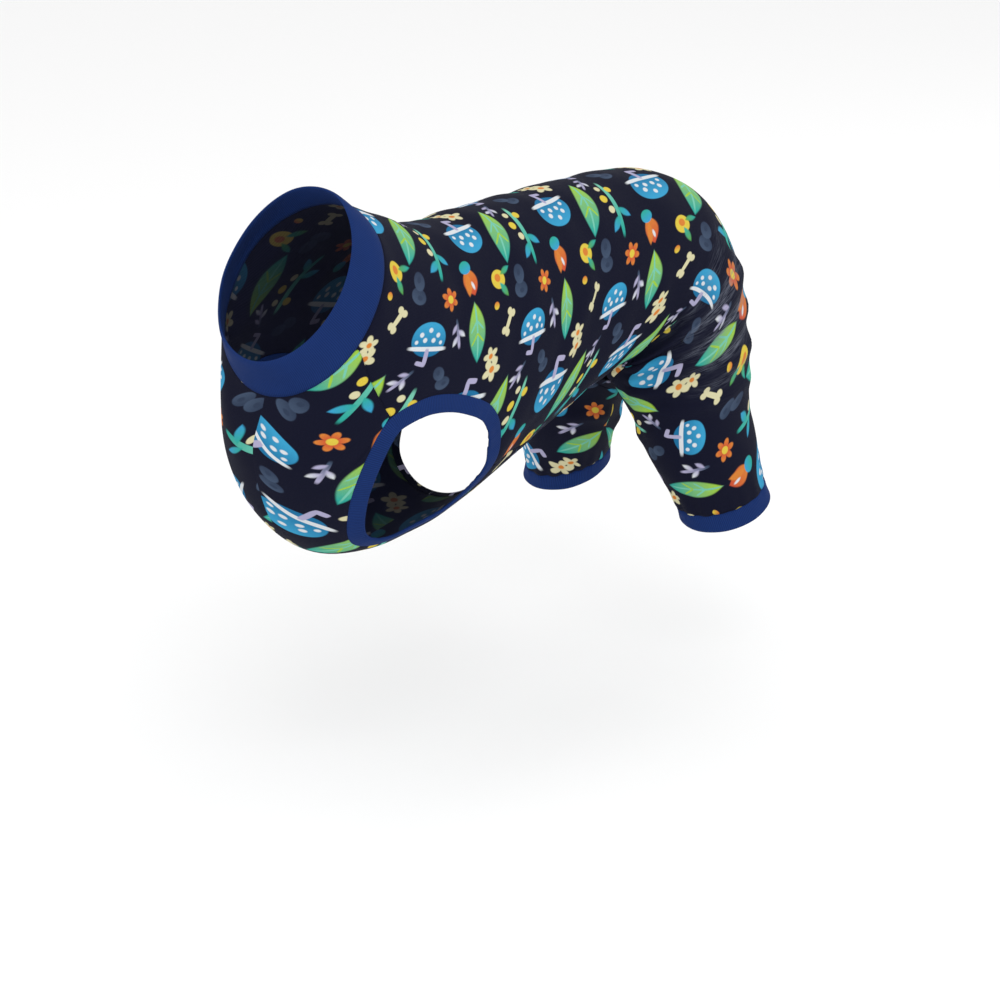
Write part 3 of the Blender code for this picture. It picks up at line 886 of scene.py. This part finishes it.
REPEAT = (84.0, 98.0)
LAYOUT = (
    Motif(UMBRELLA, (16, 20), -8),
    Motif(LONG_LEAF, (44, 26), 8),
    Motif(TWIG, (66, 30), -5),
    Motif(LEMON, (30, 52), 20),
    Motif(TULIP, (6, 50), -18),
    Motif(PEBBLES, (50, 58), 10),
    Motif(DAISY, (29, 1), 0),
    Motif(POM, (72, 60), 0),
    Motif(LONG_LEAF, (12, 78), -14, 0.86),
    Motif(BONE, (38, 76), 24),
    Motif(UMBRELLA, (62, 84), 172, 0.80),
    Motif(SPRIG, (82, 78), -20),
    Motif(SPRIG, (56, 8), 30, 0.9),
    Motif(PEBBLES, (79, 4), -30, 0.8),
    Motif(DOT, (27, 66), 0),
    Motif(DAISY, (26, 92), 30, 0.8),
)


@dataclass(frozen=True)
class PrintedJersey:
    """Cotton and elastane single jersey with a pigment print: matte, near-black navy, small bright motifs.

    The wrong side is the bare knit, with the print showing through faintly.
    """

    name: str = "printed_jersey_knit"
    ground: str = "#0c0e20"
    wrong_side: bool = False
    wrong_ground: str = "#15172a"
    show_through: float = 0.14
    wale: float = 1.0
    course: float = 0.8
    edge_blur: float = 0.35
    # Grey of the stretched knit, partly real and partly a painted highlight standing in for the light on the
    # haunch's folds.
    stretch_and_fold_light_grey: str = "#6d7280"
    roughness: float = 0.82
    print_scale: float = 1.38
    ink_strength: float = 0.74

    def dyed(self, colour: str) -> tuple[float, float, float, float]:
        """Return an ink's linear colour, dimmed as pigment is on dark cloth."""
        red, green, blue, _ = linear(colour)
        return red * self.ink_strength, green * self.ink_strength, blue * self.ink_strength, 1.0

    def place_in_motif(
        self, tree: bpy.types.NodeTree, place: bpy.types.NodeSocket, motif: Motif,
    ) -> bpy.types.NodeSocket:
        """Return the place from a motif's middle, wrapped so that the motif comes again in each repeat.

        Args:
            tree: The node tree.
            place: Place on the cloth, in millimetres.
            motif: The motif.

        Returns:
            The place, with one in its third part, for the shift in printed.
        """
        high = (REPEAT[0] / 2, REPEAT[1] / 2, 2)
        low = (-REPEAT[0] / 2, -REPEAT[1] / 2, -2)
        middle = (*motif.place, -1)
        offset = add_node(
            tree, "ShaderNodeVectorMath", {"operation": "SUBTRACT"}, i0=place, i1=middle,
        ).outputs[0]
        return add_node(
            tree, "ShaderNodeVectorMath", {"operation": "WRAP"}, i0=offset, i1=high, i2=low,
        ).outputs[0]

    def printed(
        self,
        tree: bpy.types.NodeTree,
        place: bpy.types.NodeSocket,
        motif: Motif,
        ink: Ink,
        under: bpy.types.NodeSocket,
    ) -> bpy.types.NodeSocket:
        """Lay one inked shape over what is printed under it.

        Its own coordinates come from two dot products, which turn, scale and shift at once. A round shape
        is where x squared + y squared is under one, a leaf where |x| + y squared is, and a bar where the
        fourth powers of both add up to less.

        Args:
            tree: The node tree.
            place: Place from the motif's middle.
            motif: The motif.
            ink: The shape.
            under: Colour under it.

        Returns:
            The colour with the shape.
        """
        turn = math.radians(motif.turn)
        spin = np.array(((math.cos(turn), -math.sin(turn)), (math.sin(turn), math.cos(turn))))
        middle = motif.scale * spin @ np.array(ink.place)
        whole = turn + math.radians(ink.turn)
        half = motif.scale * np.array(ink.half)
        across = np.array((math.cos(whole), math.sin(whole))) / half[0]
        along = np.array((-math.sin(whole), math.cos(whole))) / half[1]
        x, y = (
            add_node(
                tree,
                "ShaderNodeVectorMath",
                {"operation": "DOT_PRODUCT"},
                i0=place,
                i1=(*axis, -float(axis @ middle)),
            ).outputs["Value"]
            for axis in (across, along)
        )
        if ink.outline is Outline.LEAF:
            side = add_node(tree, "ShaderNodeMath", {"operation": "ABSOLUTE"}, i0=x).outputs[0]
            reach = add_node(
                tree, "ShaderNodeMath", {"operation": "MULTIPLY_ADD"}, i0=y, i1=y, i2=side,
            ).outputs[0]
        else:
            side = add_node(tree, "ShaderNodeMath", {"operation": "MULTIPLY"}, i0=x, i1=x).outputs[0]
            if ink.outline is Outline.BAR:
                side = add_node(
                    tree, "ShaderNodeMath", {"operation": "MULTIPLY"}, i0=side, i1=side,
                ).outputs[0]
                end = add_node(tree, "ShaderNodeMath", {"operation": "MULTIPLY"}, i0=y, i1=y).outputs[0]
                reach = add_node(
                    tree, "ShaderNodeMath", {"operation": "MULTIPLY_ADD"}, i0=end, i1=end, i2=side,
                ).outputs[0]
            else:
                reach = add_node(
                    tree, "ShaderNodeMath", {"operation": "MULTIPLY_ADD"}, i0=y, i1=y, i2=side,
                ).outputs[0]
        blur = min(2 * self.edge_blur / float(half.min()), 0.8)
        mask = add_node(
            tree,
            "ShaderNodeMapRange",
            {"interpolation_type": "SMOOTHSTEP"},
            i0=reach,
            i1=1 + blur,
            i2=1 - blur,
            i3=0.0,
            i4=1.0,
        ).outputs[0]
        colour = self.dyed(ink.colour)
        if ink.fade_to:
            share = add_node(tree, "ShaderNodeMapRange", i0=y, i1=-0.8, i2=0.8, i3=1.0, i4=0.0).outputs[0]
            colour = add_node(
                tree, "ShaderNodeMix", {"data_type": "RGBA"}, i0=share, i6=colour, i7=self.dyed(ink.fade_to),
            ).outputs[2]
        return add_node(tree, "ShaderNodeMix", {"data_type": "RGBA"}, i0=mask, i6=under, i7=colour).outputs[2]

    def knit_height(self, tree: bpy.types.NodeTree, place: bpy.types.NodeSocket) -> bpy.types.NodeSocket:
        """Return the height of the knit's face: rows of V-shaped stitches.

        The wale's wave runs across, and each course pushes it aside and back, which makes the V.
        Real wales are 0.7 mm apart. They are drawn a little coarser, so that they show.

        Args:
            tree: The node tree.
            place: Place on the cloth, in millimetres.

        Returns:
            Height from -1 to 1.
        """
        axes = add_node(tree, "ShaderNodeSeparateXYZ", i0=place).outputs
        course = add_node(
            tree, "ShaderNodeMath", {"operation": "PINGPONG"}, i0=axes[0], i1=self.course,
        ).outputs[0]
        pushed = add_node(
            tree, "ShaderNodeMath", {"operation": "MULTIPLY_ADD"}, i0=course, i1=0.45, i2=axes[1],
        ).outputs[0]
        phase = add_node(
            tree, "ShaderNodeMath", {"operation": "MULTIPLY"}, i0=pushed, i1=FULL_TURN / self.wale,
        ).outputs[0]
        return add_node(tree, "ShaderNodeMath", {"operation": "SINE"}, i0=phase).outputs[0]

    def material(self) -> bpy.types.Material:
        """Return the material of the printed face, or of the wrong side."""
        finish = bpy.data.materials.new(self.name + ("_wrong_side" if self.wrong_side else ""))
        finish.use_nodes = True
        tree = finish.node_tree
        shader = tree.nodes["Principled BSDF"]
        shader.inputs["Roughness"].default_value = self.roughness
        shader.inputs["Specular IOR Level"].default_value = 0.08
        shader.inputs["Sheen Weight"].default_value = 0.02
        shader.inputs["Sheen Roughness"].default_value = 0.45
        shader.inputs["Sheen Tint"].default_value = linear("#8f93a6")

        cloth = add_node(tree, "ShaderNodeUVMap", {"uv_map": "cloth"}).outputs[0]
        place = add_node(
            tree, "ShaderNodeVectorMath", {"operation": "SCALE"}, i0=cloth, Scale=1000.0,
        ).outputs[0]
        height = self.knit_height(tree, place)

        ground = linear(self.wrong_ground if self.wrong_side else self.ground)
        # Painted highlight: the knit's raised stitch crowns are mixed towards a lighter navy by their height.
        colour = add_node(
            tree,
            "ShaderNodeMix",
            {"data_type": "RGBA"},
            i0=add_node(tree, "ShaderNodeMapRange", i0=height, i1=-1.0, i2=1.0, i3=0.0, i4=0.16).outputs[0],
            i6=ground,
            i7=linear("#1e2036"),
        ).outputs[2]
        bare = colour
        drawn = add_node(
            tree, "ShaderNodeVectorMath", {"operation": "SCALE"}, i0=cloth, Scale=1000.0 / self.print_scale,
        ).outputs[0]
        for motif in LAYOUT:
            own = self.place_in_motif(tree, drawn, motif)
            for ink in motif.inks:
                colour = self.printed(tree, own, motif, ink, colour)

        if self.wrong_side:
            colour = add_node(
                tree, "ShaderNodeMix", {"data_type": "RGBA"}, i0=self.show_through, i6=bare, i7=colour,
            ).outputs[2]
        else:
            colour = self.stretch_lines_and_fold_highlights(tree, cloth, colour)
        tree.links.new(colour, shader.inputs["Base Color"])
        bump = add_node(tree, "ShaderNodeBump", Strength=0.35, Distance=0.00025, Height=height)
        tree.links.new(bump.outputs[0], shader.inputs["Normal"])
        return finish

    def stretch_lines_and_fold_highlights(
        self, tree: bpy.types.NodeTree, cloth: bpy.types.NodeSocket, colour: bpy.types.NodeSocket,
    ) -> bpy.types.NodeSocket:
        """Grey the cloth in fine lines where it is pulled tight, as the knit opens between its threads. The
        lines are also painted highlights: light streaks that stand in for the light on the haunch's folds.

        Args:
            tree: The node tree.
            cloth: Place on the cloth, in metres.
            colour: The printed colour.

        Returns:
            The colour with the lines, by the attribute that says how tight the cloth is and where the painted
            fold highlights go.
        """
        # Partly painted highlight: light grey streaks where the knit is stretched, also standing in for the
        # light on the haunch's folds.
        tight = add_node(tree, "ShaderNodeAttribute", {"attribute_name": "tightness_and_fold_light"}).outputs["Fac"]
        drawn = add_node(tree, "ShaderNodeMapping", Vector=cloth, Scale=(1100, 70, 1)).outputs[0]
        lines = add_node(
            tree, "ShaderNodeTexNoise", Vector=drawn, Scale=1.0, Detail=3.0, Roughness=0.6,
        ).outputs[0]
        share = add_node(tree, "ShaderNodeMapRange", i0=lines, i1=0.40, i2=0.66, i3=0.0, i4=1.0).outputs[0]
        amount = add_node(tree, "ShaderNodeMath", {"operation": "MULTIPLY"}, i0=share, i1=tight).outputs[0]
        return add_node(
            tree,
            "ShaderNodeMix",
            {"data_type": "RGBA"},
            i0=amount,
            i6=colour,
            i7=linear(self.stretch_and_fold_light_grey),
        ).outputs[2]


@dataclass(frozen=True)
class RibKnit:
    """Cotton and elastane 1x1 rib, folded double: matte, with fine ribs across the band 1.5 mm apart."""

    name: str = "blue_rib_knit"
    colour: str = "#172f66"
    # Colour painted into the grooves between the ribs: painted shade, darker than the rib's own colour.
    groove: str = "#11244f"
    pitch: float = 0.0015
    roughness: float = 0.86

    def material(self) -> bpy.types.Material:
        """Return the material. Its ribs are a cosine wave of the run along the band, and the grooves between
        them are painted darker as shade.
        """
        finish = bpy.data.materials.new(self.name)
        finish.use_nodes = True
        tree = finish.node_tree
        shader = tree.nodes["Principled BSDF"]
        shader.inputs["Roughness"].default_value = self.roughness
        shader.inputs["Specular IOR Level"].default_value = 0.08
        shader.inputs["Sheen Weight"].default_value = 0.03
        shader.inputs["Sheen Roughness"].default_value = 0.4
        shader.inputs["Sheen Tint"].default_value = linear("#6f86c4")
        cloth = add_node(tree, "ShaderNodeUVMap", {"uv_map": "cloth"}).outputs[0]
        along = add_node(tree, "ShaderNodeSeparateXYZ", i0=cloth).outputs[0]
        phase = add_node(
            tree, "ShaderNodeMath", {"operation": "MULTIPLY"}, i0=along, i1=FULL_TURN / self.pitch,
        ).outputs[0]
        rib = add_node(tree, "ShaderNodeMath", {"operation": "COSINE"}, i0=phase).outputs[0]
        crown = add_node(tree, "ShaderNodeMapRange", i0=rib, i1=-1.0, i2=0.6, i3=0.0, i4=1.0).outputs[0]
        shade = add_node(tree, "ShaderNodeTexNoise", Vector=cloth, Scale=60.0, Detail=2.0).outputs[0]
        share = add_node(
            tree, "ShaderNodeMath", {"operation": "MULTIPLY_ADD"}, i0=shade, i1=0.35, i2=-0.17,
        ).outputs[0]
        share = add_node(
            tree, "ShaderNodeMath", {"operation": "ADD", "use_clamp": True}, i0=share, i1=crown,
        ).outputs[0]
        # Painted shade: the grooves between the ribs are mixed towards the darker groove colour, with random
        # tone from the noise.
        colour = add_node(
            tree,
            "ShaderNodeMix",
            {"data_type": "RGBA"},
            i0=share,
            i6=linear(self.groove),
            i7=linear(self.colour),
        ).outputs[2]
        tree.links.new(colour, shader.inputs["Base Color"])
        bump = add_node(tree, "ShaderNodeBump", Strength=0.35, Distance=0.0003, Height=crown)
        tree.links.new(bump.outputs[0], shader.inputs["Normal"])
        return finish


class Side(Enum):
    """The wearer's side that a piece is on."""

    LEFT = "left"
    RIGHT = "right"


@dataclass
class Panels:
    """The two jersey panels, each one sheet of cloth over both sides."""

    form: WornForm
    cut: Cut
    finish: bpy.types.Material
    wrong_side: bpy.types.Material
    step: float = 0.0028
    back_columns: int = 100
    belly_columns: int = 44
    belly_lines: int = 88
    offset: dict[str, tuple[float, float]] = field(
        default_factory=lambda: {"back_panel_jersey": (0.0, 0.0), "belly_panel_jersey": (0.031, 0.017)}
    )

    def sheet(self, name: str, rows: Array, angles: Array, outline_ends: tuple[int, ...]) -> bpy.types.Object:
        """Build a panel from its left half.

        Args:
            name: The object's name.
            rows: Rows of the grid.
            angles: Angles of the grid.
            outline_ends: Columns whose points near the mirror plane are put in it.

        Returns:
            The sheet, with its thickness on the inner side.
        """
        inner = self.form.draped(rows, angles)
        outer = inner + JERSEY_THICKNESS * self.form.normals(self.form.draped, rows, angles)
        for column in outline_ends:
            line = outer[:, column]
            line[np.abs(line[:, 0]) < 2e-4, 0] = 0
        lines, columns = rows.shape
        faces = grid_faces(lines, columns)
        other = grid_faces(lines, columns, rows.size)[:, ::-1]
        points = np.vstack((outer.reshape(-1, 3), outer.reshape(-1, 3) * MIRROR))
        item = new_object(name, points, np.vstack((faces, other)))
        place = self.form.cloth_place(rows, angles).reshape(-1, 2)
        set_uv(item.data, "cloth", np.vstack((place, place * (1, -1))) + self.offset[name])
        # Share of stretch per point, which also places the painted fold highlights.
        tight = self.form.tightness_and_fold_light(rows, angles).ravel()
        layer = item.data.attributes.new("tightness_and_fold_light", "FLOAT", "POINT")
        layer.data.foreach_set("value", np.concatenate((tight, tight)))
        merge_doubles(item)
        item.data.materials.append(self.finish)
        item.data.materials.append(self.wrong_side)
        wall = item.modifiers.new("thickness", "SOLIDIFY")
        wall.thickness = JERSEY_THICKNESS
        wall.offset = -1
        wall.material_offset = 1
        wall.material_offset_rim = 1
        return item

    def build(self) -> tuple[bpy.types.Object, bpy.types.Object]:
        """Build both panels.

        Returns:
            The back panel and the belly panel.
        """
        rows, angles = self.cut.back_grid(self.step, self.back_columns)
        back = self.sheet("back_panel_jersey", rows, angles, (0,))
        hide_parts("back_panel")
        rows, angles = self.cut.belly_grid(self.belly_lines, self.belly_columns)
        belly = self.sheet("belly_panel_jersey", rows, angles, (-1,))
        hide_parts("belly_panel")
        for piece in (back, belly):
            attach(piece, "root")
            LOG.info("%s: %d faces", piece.name, len(piece.data.polygons))
        return back, belly


def mitred(first: Array, second: Array) -> Array:
    """Return the direction that moves a corner so that both of its edges move by one unit."""
    overlap = 1 + np.einsum("ij,ij->i", first, second)
    return (first + second) / np.maximum(overlap, 0.5)[:, None]


def both_sides(points: Array, normals: Array) -> tuple[Array, Array]:
    """Return a closed loop from its left half, whose two ends lie in the mirror plane."""
    return (
        np.vstack((points, points[-2:0:-1] * MIRROR)),
        np.vstack((normals, normals[-2:0:-1] * MIRROR)),
    )


@dataclass
class Bands:
    """The ribbed bands and the self-fabric hems: strips carried along the edges of the panels."""

    form: WornForm
    cut: Cut
    rib: bpy.types.Material
    jersey: bpy.types.Material
    step: float = 0.0016
    arm_width: float = 0.0128
    hem_width: float = 0.0062

    def profile(self, turned: bool) -> Array:
        """Return a band's cross-section: shares of its width and thickness, with the free edge rounded.

        Args:
            turned: Whether it is a narrow turned hem, flatter at its seam than a folded rib band.

        Returns:
            Rows of share across and share up, from the seam's outer corner round to its inner one.
        """
        turn = np.linspace(QUARTER_TURN, -QUARTER_TURN, 9)
        tip = np.stack((0.86 + 0.14 * np.cos(turn), 0.5 + 0.44 * np.sin(turn)), -1)
        across = np.linspace(0, 0.80, 9)
        crown = 0.94 - 0.12 * (1 - np.minimum(across / 0.3, 1)) ** 2
        if turned:
            crown = 0.94 - 0.16 * (1 - np.minimum(across / 0.5, 1)) ** 2
        top = np.stack((across, crown), -1)
        under = np.stack((across[::-1], np.full(9, 0.06)), -1)
        return np.vstack((top, tip, under))

    def strip(
        self,
        name: str,
        place: Callable[[float], tuple[Array, Array]],
        thickness: float,
        turned: bool,
        width: float,
        side: Side = Side.LEFT,
    ) -> bpy.types.Object:
        """Carry the cross-section along an edge.

        Args:
            name: The object's name.
            place: Gives points and outward normals at a share of the band's width.
            thickness: The band's thickness.
            turned: Whether it is a turned hem.
            width: The band's width.
            side: The right side mirrors the left.

        Returns:
            The closed band.
        """
        profile = self.profile(turned)
        rings = []
        for across, height in profile:
            points, normals = place(across)
            rings.append(points + (height * thickness + (JERSEY_THICKNESS - thickness) / 2) * normals)
        corners = np.stack(rings, 1)
        count, sides = corners.shape[:2]
        index = np.arange(count * sides).reshape(count, sides)
        ahead = np.roll(index, -1, axis=0)
        round_quad = (index, np.roll(index, -1, axis=1), np.roll(ahead, -1, axis=1), ahead)
        faces = np.stack(round_quad, -1).reshape(-1, 4)
        points = corners.reshape(-1, 3)
        a, b, c, d = (points[faces[:, k]] - points.mean(axis=0) for k in range(4))
        if np.einsum("ij,ij->", a - c, np.cross(b, d)) < 0:
            faces = faces[:, ::-1]
        if side is Side.RIGHT:
            points = points * MIRROR
            faces = faces[:, ::-1]
        item = new_object(name, points, faces)
        run = np.append(0, np.cumsum(np.linalg.norm(np.diff(corners[:, 4], axis=0), axis=1)))
        reach = np.append(0, np.cumsum(np.linalg.norm(np.diff(profile * (width, thickness), axis=0), axis=1)))
        across = np.broadcast_to(reach, (count, sides))
        along = np.broadcast_to(run[:, None], (count, sides))
        set_uv(item.data, "cloth", np.stack((along, across), -1))
        return item

    def binding_place(
        self, curve: Array, width: float, halves: bool,
    ) -> Callable[[float], tuple[Array, Array]]:
        """Return a place function that runs from a closed edge into the hole, flat on the form.

        Args:
            curve: Places with the cloth on their left and the hole on their right.
            width: The band's width.
            halves: Whether the curve is the left half of a loop.

        Returns:
            The function of the share of the band's width.
        """
        places = self.form.spaced(curve, self.step)
        if not halves:
            places = places[:-1]
        points = self.form.draped(places[:, 0], places[:, 1])
        normals = self.form.normals(self.form.draped, places[:, 0], places[:, 1])
        if halves:
            for end in (0, -1):
                points[end, 0] = 0
                normals[end, 0] = 0
            points, normals = both_sides(points, unit(normals))
        leave = unit(np.roll(points, -1, axis=0) - points)
        arrive = unit(points - np.roll(points, 1, axis=0))
        inward = mitred(unit(np.cross(leave, normals)), unit(np.cross(arrive, normals)))
        return lambda across: (points + across * width * inward, normals)

    def row_place(
        self, angles: Array, seam: float, edge: float, halves: bool,
    ) -> Callable[[float], tuple[Array, Array]]:
        """Return a place function that runs along the form from a seam's row to its free edge's.

        Args:
            angles: Angles of the band's rings.
            seam: Row of the seam.
            edge: Row of the free edge.
            halves: Whether the angles cover the left half of a loop.

        Returns:
            The function of the share of the band's width.
        """

        def place(across: float) -> tuple[Array, Array]:
            """Return points and normals at a share of the width."""
            rows = np.full_like(angles, seam + (edge - seam) * across)
            points = self.form.draped(rows, angles)
            normals = self.form.normals(self.form.draped, rows, angles)
            if halves:
                points[(0, -1), 0] = 0
                points, normals = both_sides(points, normals)
            return points, normals

        return place

    def build(self) -> list[bpy.types.Object]:
        """Build the collar, both armhole bindings, both cuffs and both hems.

        Returns:
            The pieces, in that order.
        """
        neck_angles = np.linspace(0, HALF_TURN, 150)
        collar = self.row_place(neck_angles, NECK_ROW, 0, True)
        strip = self.strip("neck_band_rib", collar, RIB_THICKNESS, False, self.form.collar_width)
        pieces = [(strip, "neck_band", self.rib)]
        cuff_angles = np.linspace(3 * QUARTER_TURN, -QUARTER_TURN, 161)[:-1]
        for side in Side:
            arm = self.binding_place(self.cut.armhole, self.arm_width, False)
            name = "armhole_binding_" + side.value
            strip = self.strip(name + "_rib", arm, RIB_THICKNESS, False, self.arm_width, side)
            pieces.append((strip, name, self.rib))
            name = "leg_cuff_" + side.value
            cuff = self.row_place(cuff_angles, CUFF_ROW, LAST_ROW, False)
            strip = self.strip(name + "_rib", cuff, RIB_THICKNESS, False, self.form.cuff_width, side)
            pieces.append((strip, name, self.rib))
        edges = (("belly_edge_binding", self.cut.opening), ("tail_hole_binding", self.cut.tail_edge()))
        for name, curve in edges:
            hem = self.binding_place(curve, self.hem_width, True)
            strip = self.strip(name + "_hem", hem, HEM_THICKNESS, True, self.hem_width)
            pieces.append((strip, name, self.jersey))
        for piece, node, finish in pieces:
            piece.data.materials.append(finish)
            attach(piece, "root")
            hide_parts(node)
            LOG.info("%s: %d faces", piece.name, len(piece.data.polygons))
        return [piece for piece, _, _ in pieces]


@dataclass(frozen=True)
class Lamp:
    """A soft square light: its name, place, side in metres and power in watts."""

    name: str
    place: tuple[float, float, float]
    size: float
    power: float


@dataclass(frozen=True)
class Studio:
    """A plain pale floor, soft light and the camera at the photograph's angle."""

    camera_place: tuple[float, float, float] = (1.16698, -1.31861, 0.40263)
    target: tuple[float, float, float] = (0.072, -0.018, -0.1885)
    lens: float = 91.05
    floor_height: float = -0.4085
    floor_size: float = 16.0
    floor_colour: str = "#f4f4f4"
    sky_strength: float = 1.0
    garment_middle: tuple[float, float, float] = (0, 0.05, -0.12)
    lamps: tuple[Lamp, ...] = (
        Lamp("key", (1.6, -1.2, 1.6), 1.6, 20),
        Lamp("fill", (-1.6, -1.8, 1.0), 2.0, 6),
        Lamp("rim", (0.6, 2.2, 1.6), 1.6, 9),
    )

    def camera(self) -> None:
        """Add the camera, aimed at the target."""
        lens = bpy.data.cameras.new("camera")
        lens.lens = self.lens
        lens.sensor_width = 36
        lens.clip_end = 50
        item = bpy.data.objects.new("camera", lens)
        item.location = self.camera_place
        aim = Vector(self.target) - Vector(self.camera_place)
        item.rotation_euler = aim.to_track_quat("-Z", "Y").to_euler()
        bpy.context.scene.collection.objects.link(item)
        bpy.context.scene.camera = item

    def floor(self) -> None:
        """Add the floor as one flat quad."""
        half = self.floor_size / 2
        corners = np.array(((-half, -half), (half, -half), (half, half), (-half, half)))
        points = np.column_stack((corners, np.full(4, self.floor_height)))
        item = new_object("floor", points, np.array(((0, 1, 2, 3),)))
        finish = bpy.data.materials.new("matte_backdrop_paper")
        finish.use_nodes = True
        shader = finish.node_tree.nodes["Principled BSDF"]
        shader.inputs["Base Color"].default_value = linear(self.floor_colour)
        shader.inputs["Roughness"].default_value = 0.9
        item.data.materials.append(finish)

    def light(self, lamp: Lamp) -> None:
        """Add a lamp, aimed at the garment.

        Args:
            lamp: The lamp.
        """
        source = bpy.data.lights.new(lamp.name, "AREA")
        source.size = lamp.size
        source.energy = lamp.power
        item = bpy.data.objects.new(lamp.name, source)
        item.location = lamp.place
        aim = Vector(self.garment_middle) - Vector(lamp.place)
        item.rotation_euler = aim.to_track_quat("-Z", "Y").to_euler()
        bpy.context.scene.collection.objects.link(item)

    def build(self) -> None:
        """Add the world light, the lamps, the floor and the camera."""
        world = bpy.data.worlds.new("studio")
        world.use_nodes = True
        world.node_tree.nodes["Background"].inputs["Color"].default_value = linear("#ffffff")
        world.node_tree.nodes["Background"].inputs["Strength"].default_value = self.sky_strength
        bpy.context.scene.world = world
        bpy.context.scene.view_settings.view_transform = "Standard"
        for lamp in self.lamps:
            self.light(lamp)
        self.floor()
        self.camera()


def main() -> None:
    """Build the jumpsuit's looks."""
    logging.basicConfig(level=logging.INFO)
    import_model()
    form = WornForm()
    cut = Cut(form)
    jersey = PrintedJersey().material()
    rib = RibKnit().material()
    wrong_side = PrintedJersey(wrong_side=True).material()
    back, belly = Panels(form, cut, jersey, wrong_side).build()
    bands = Bands(form, cut, rib, jersey).build()
    Studio().build()


if __name__ == "__main__":
    main()
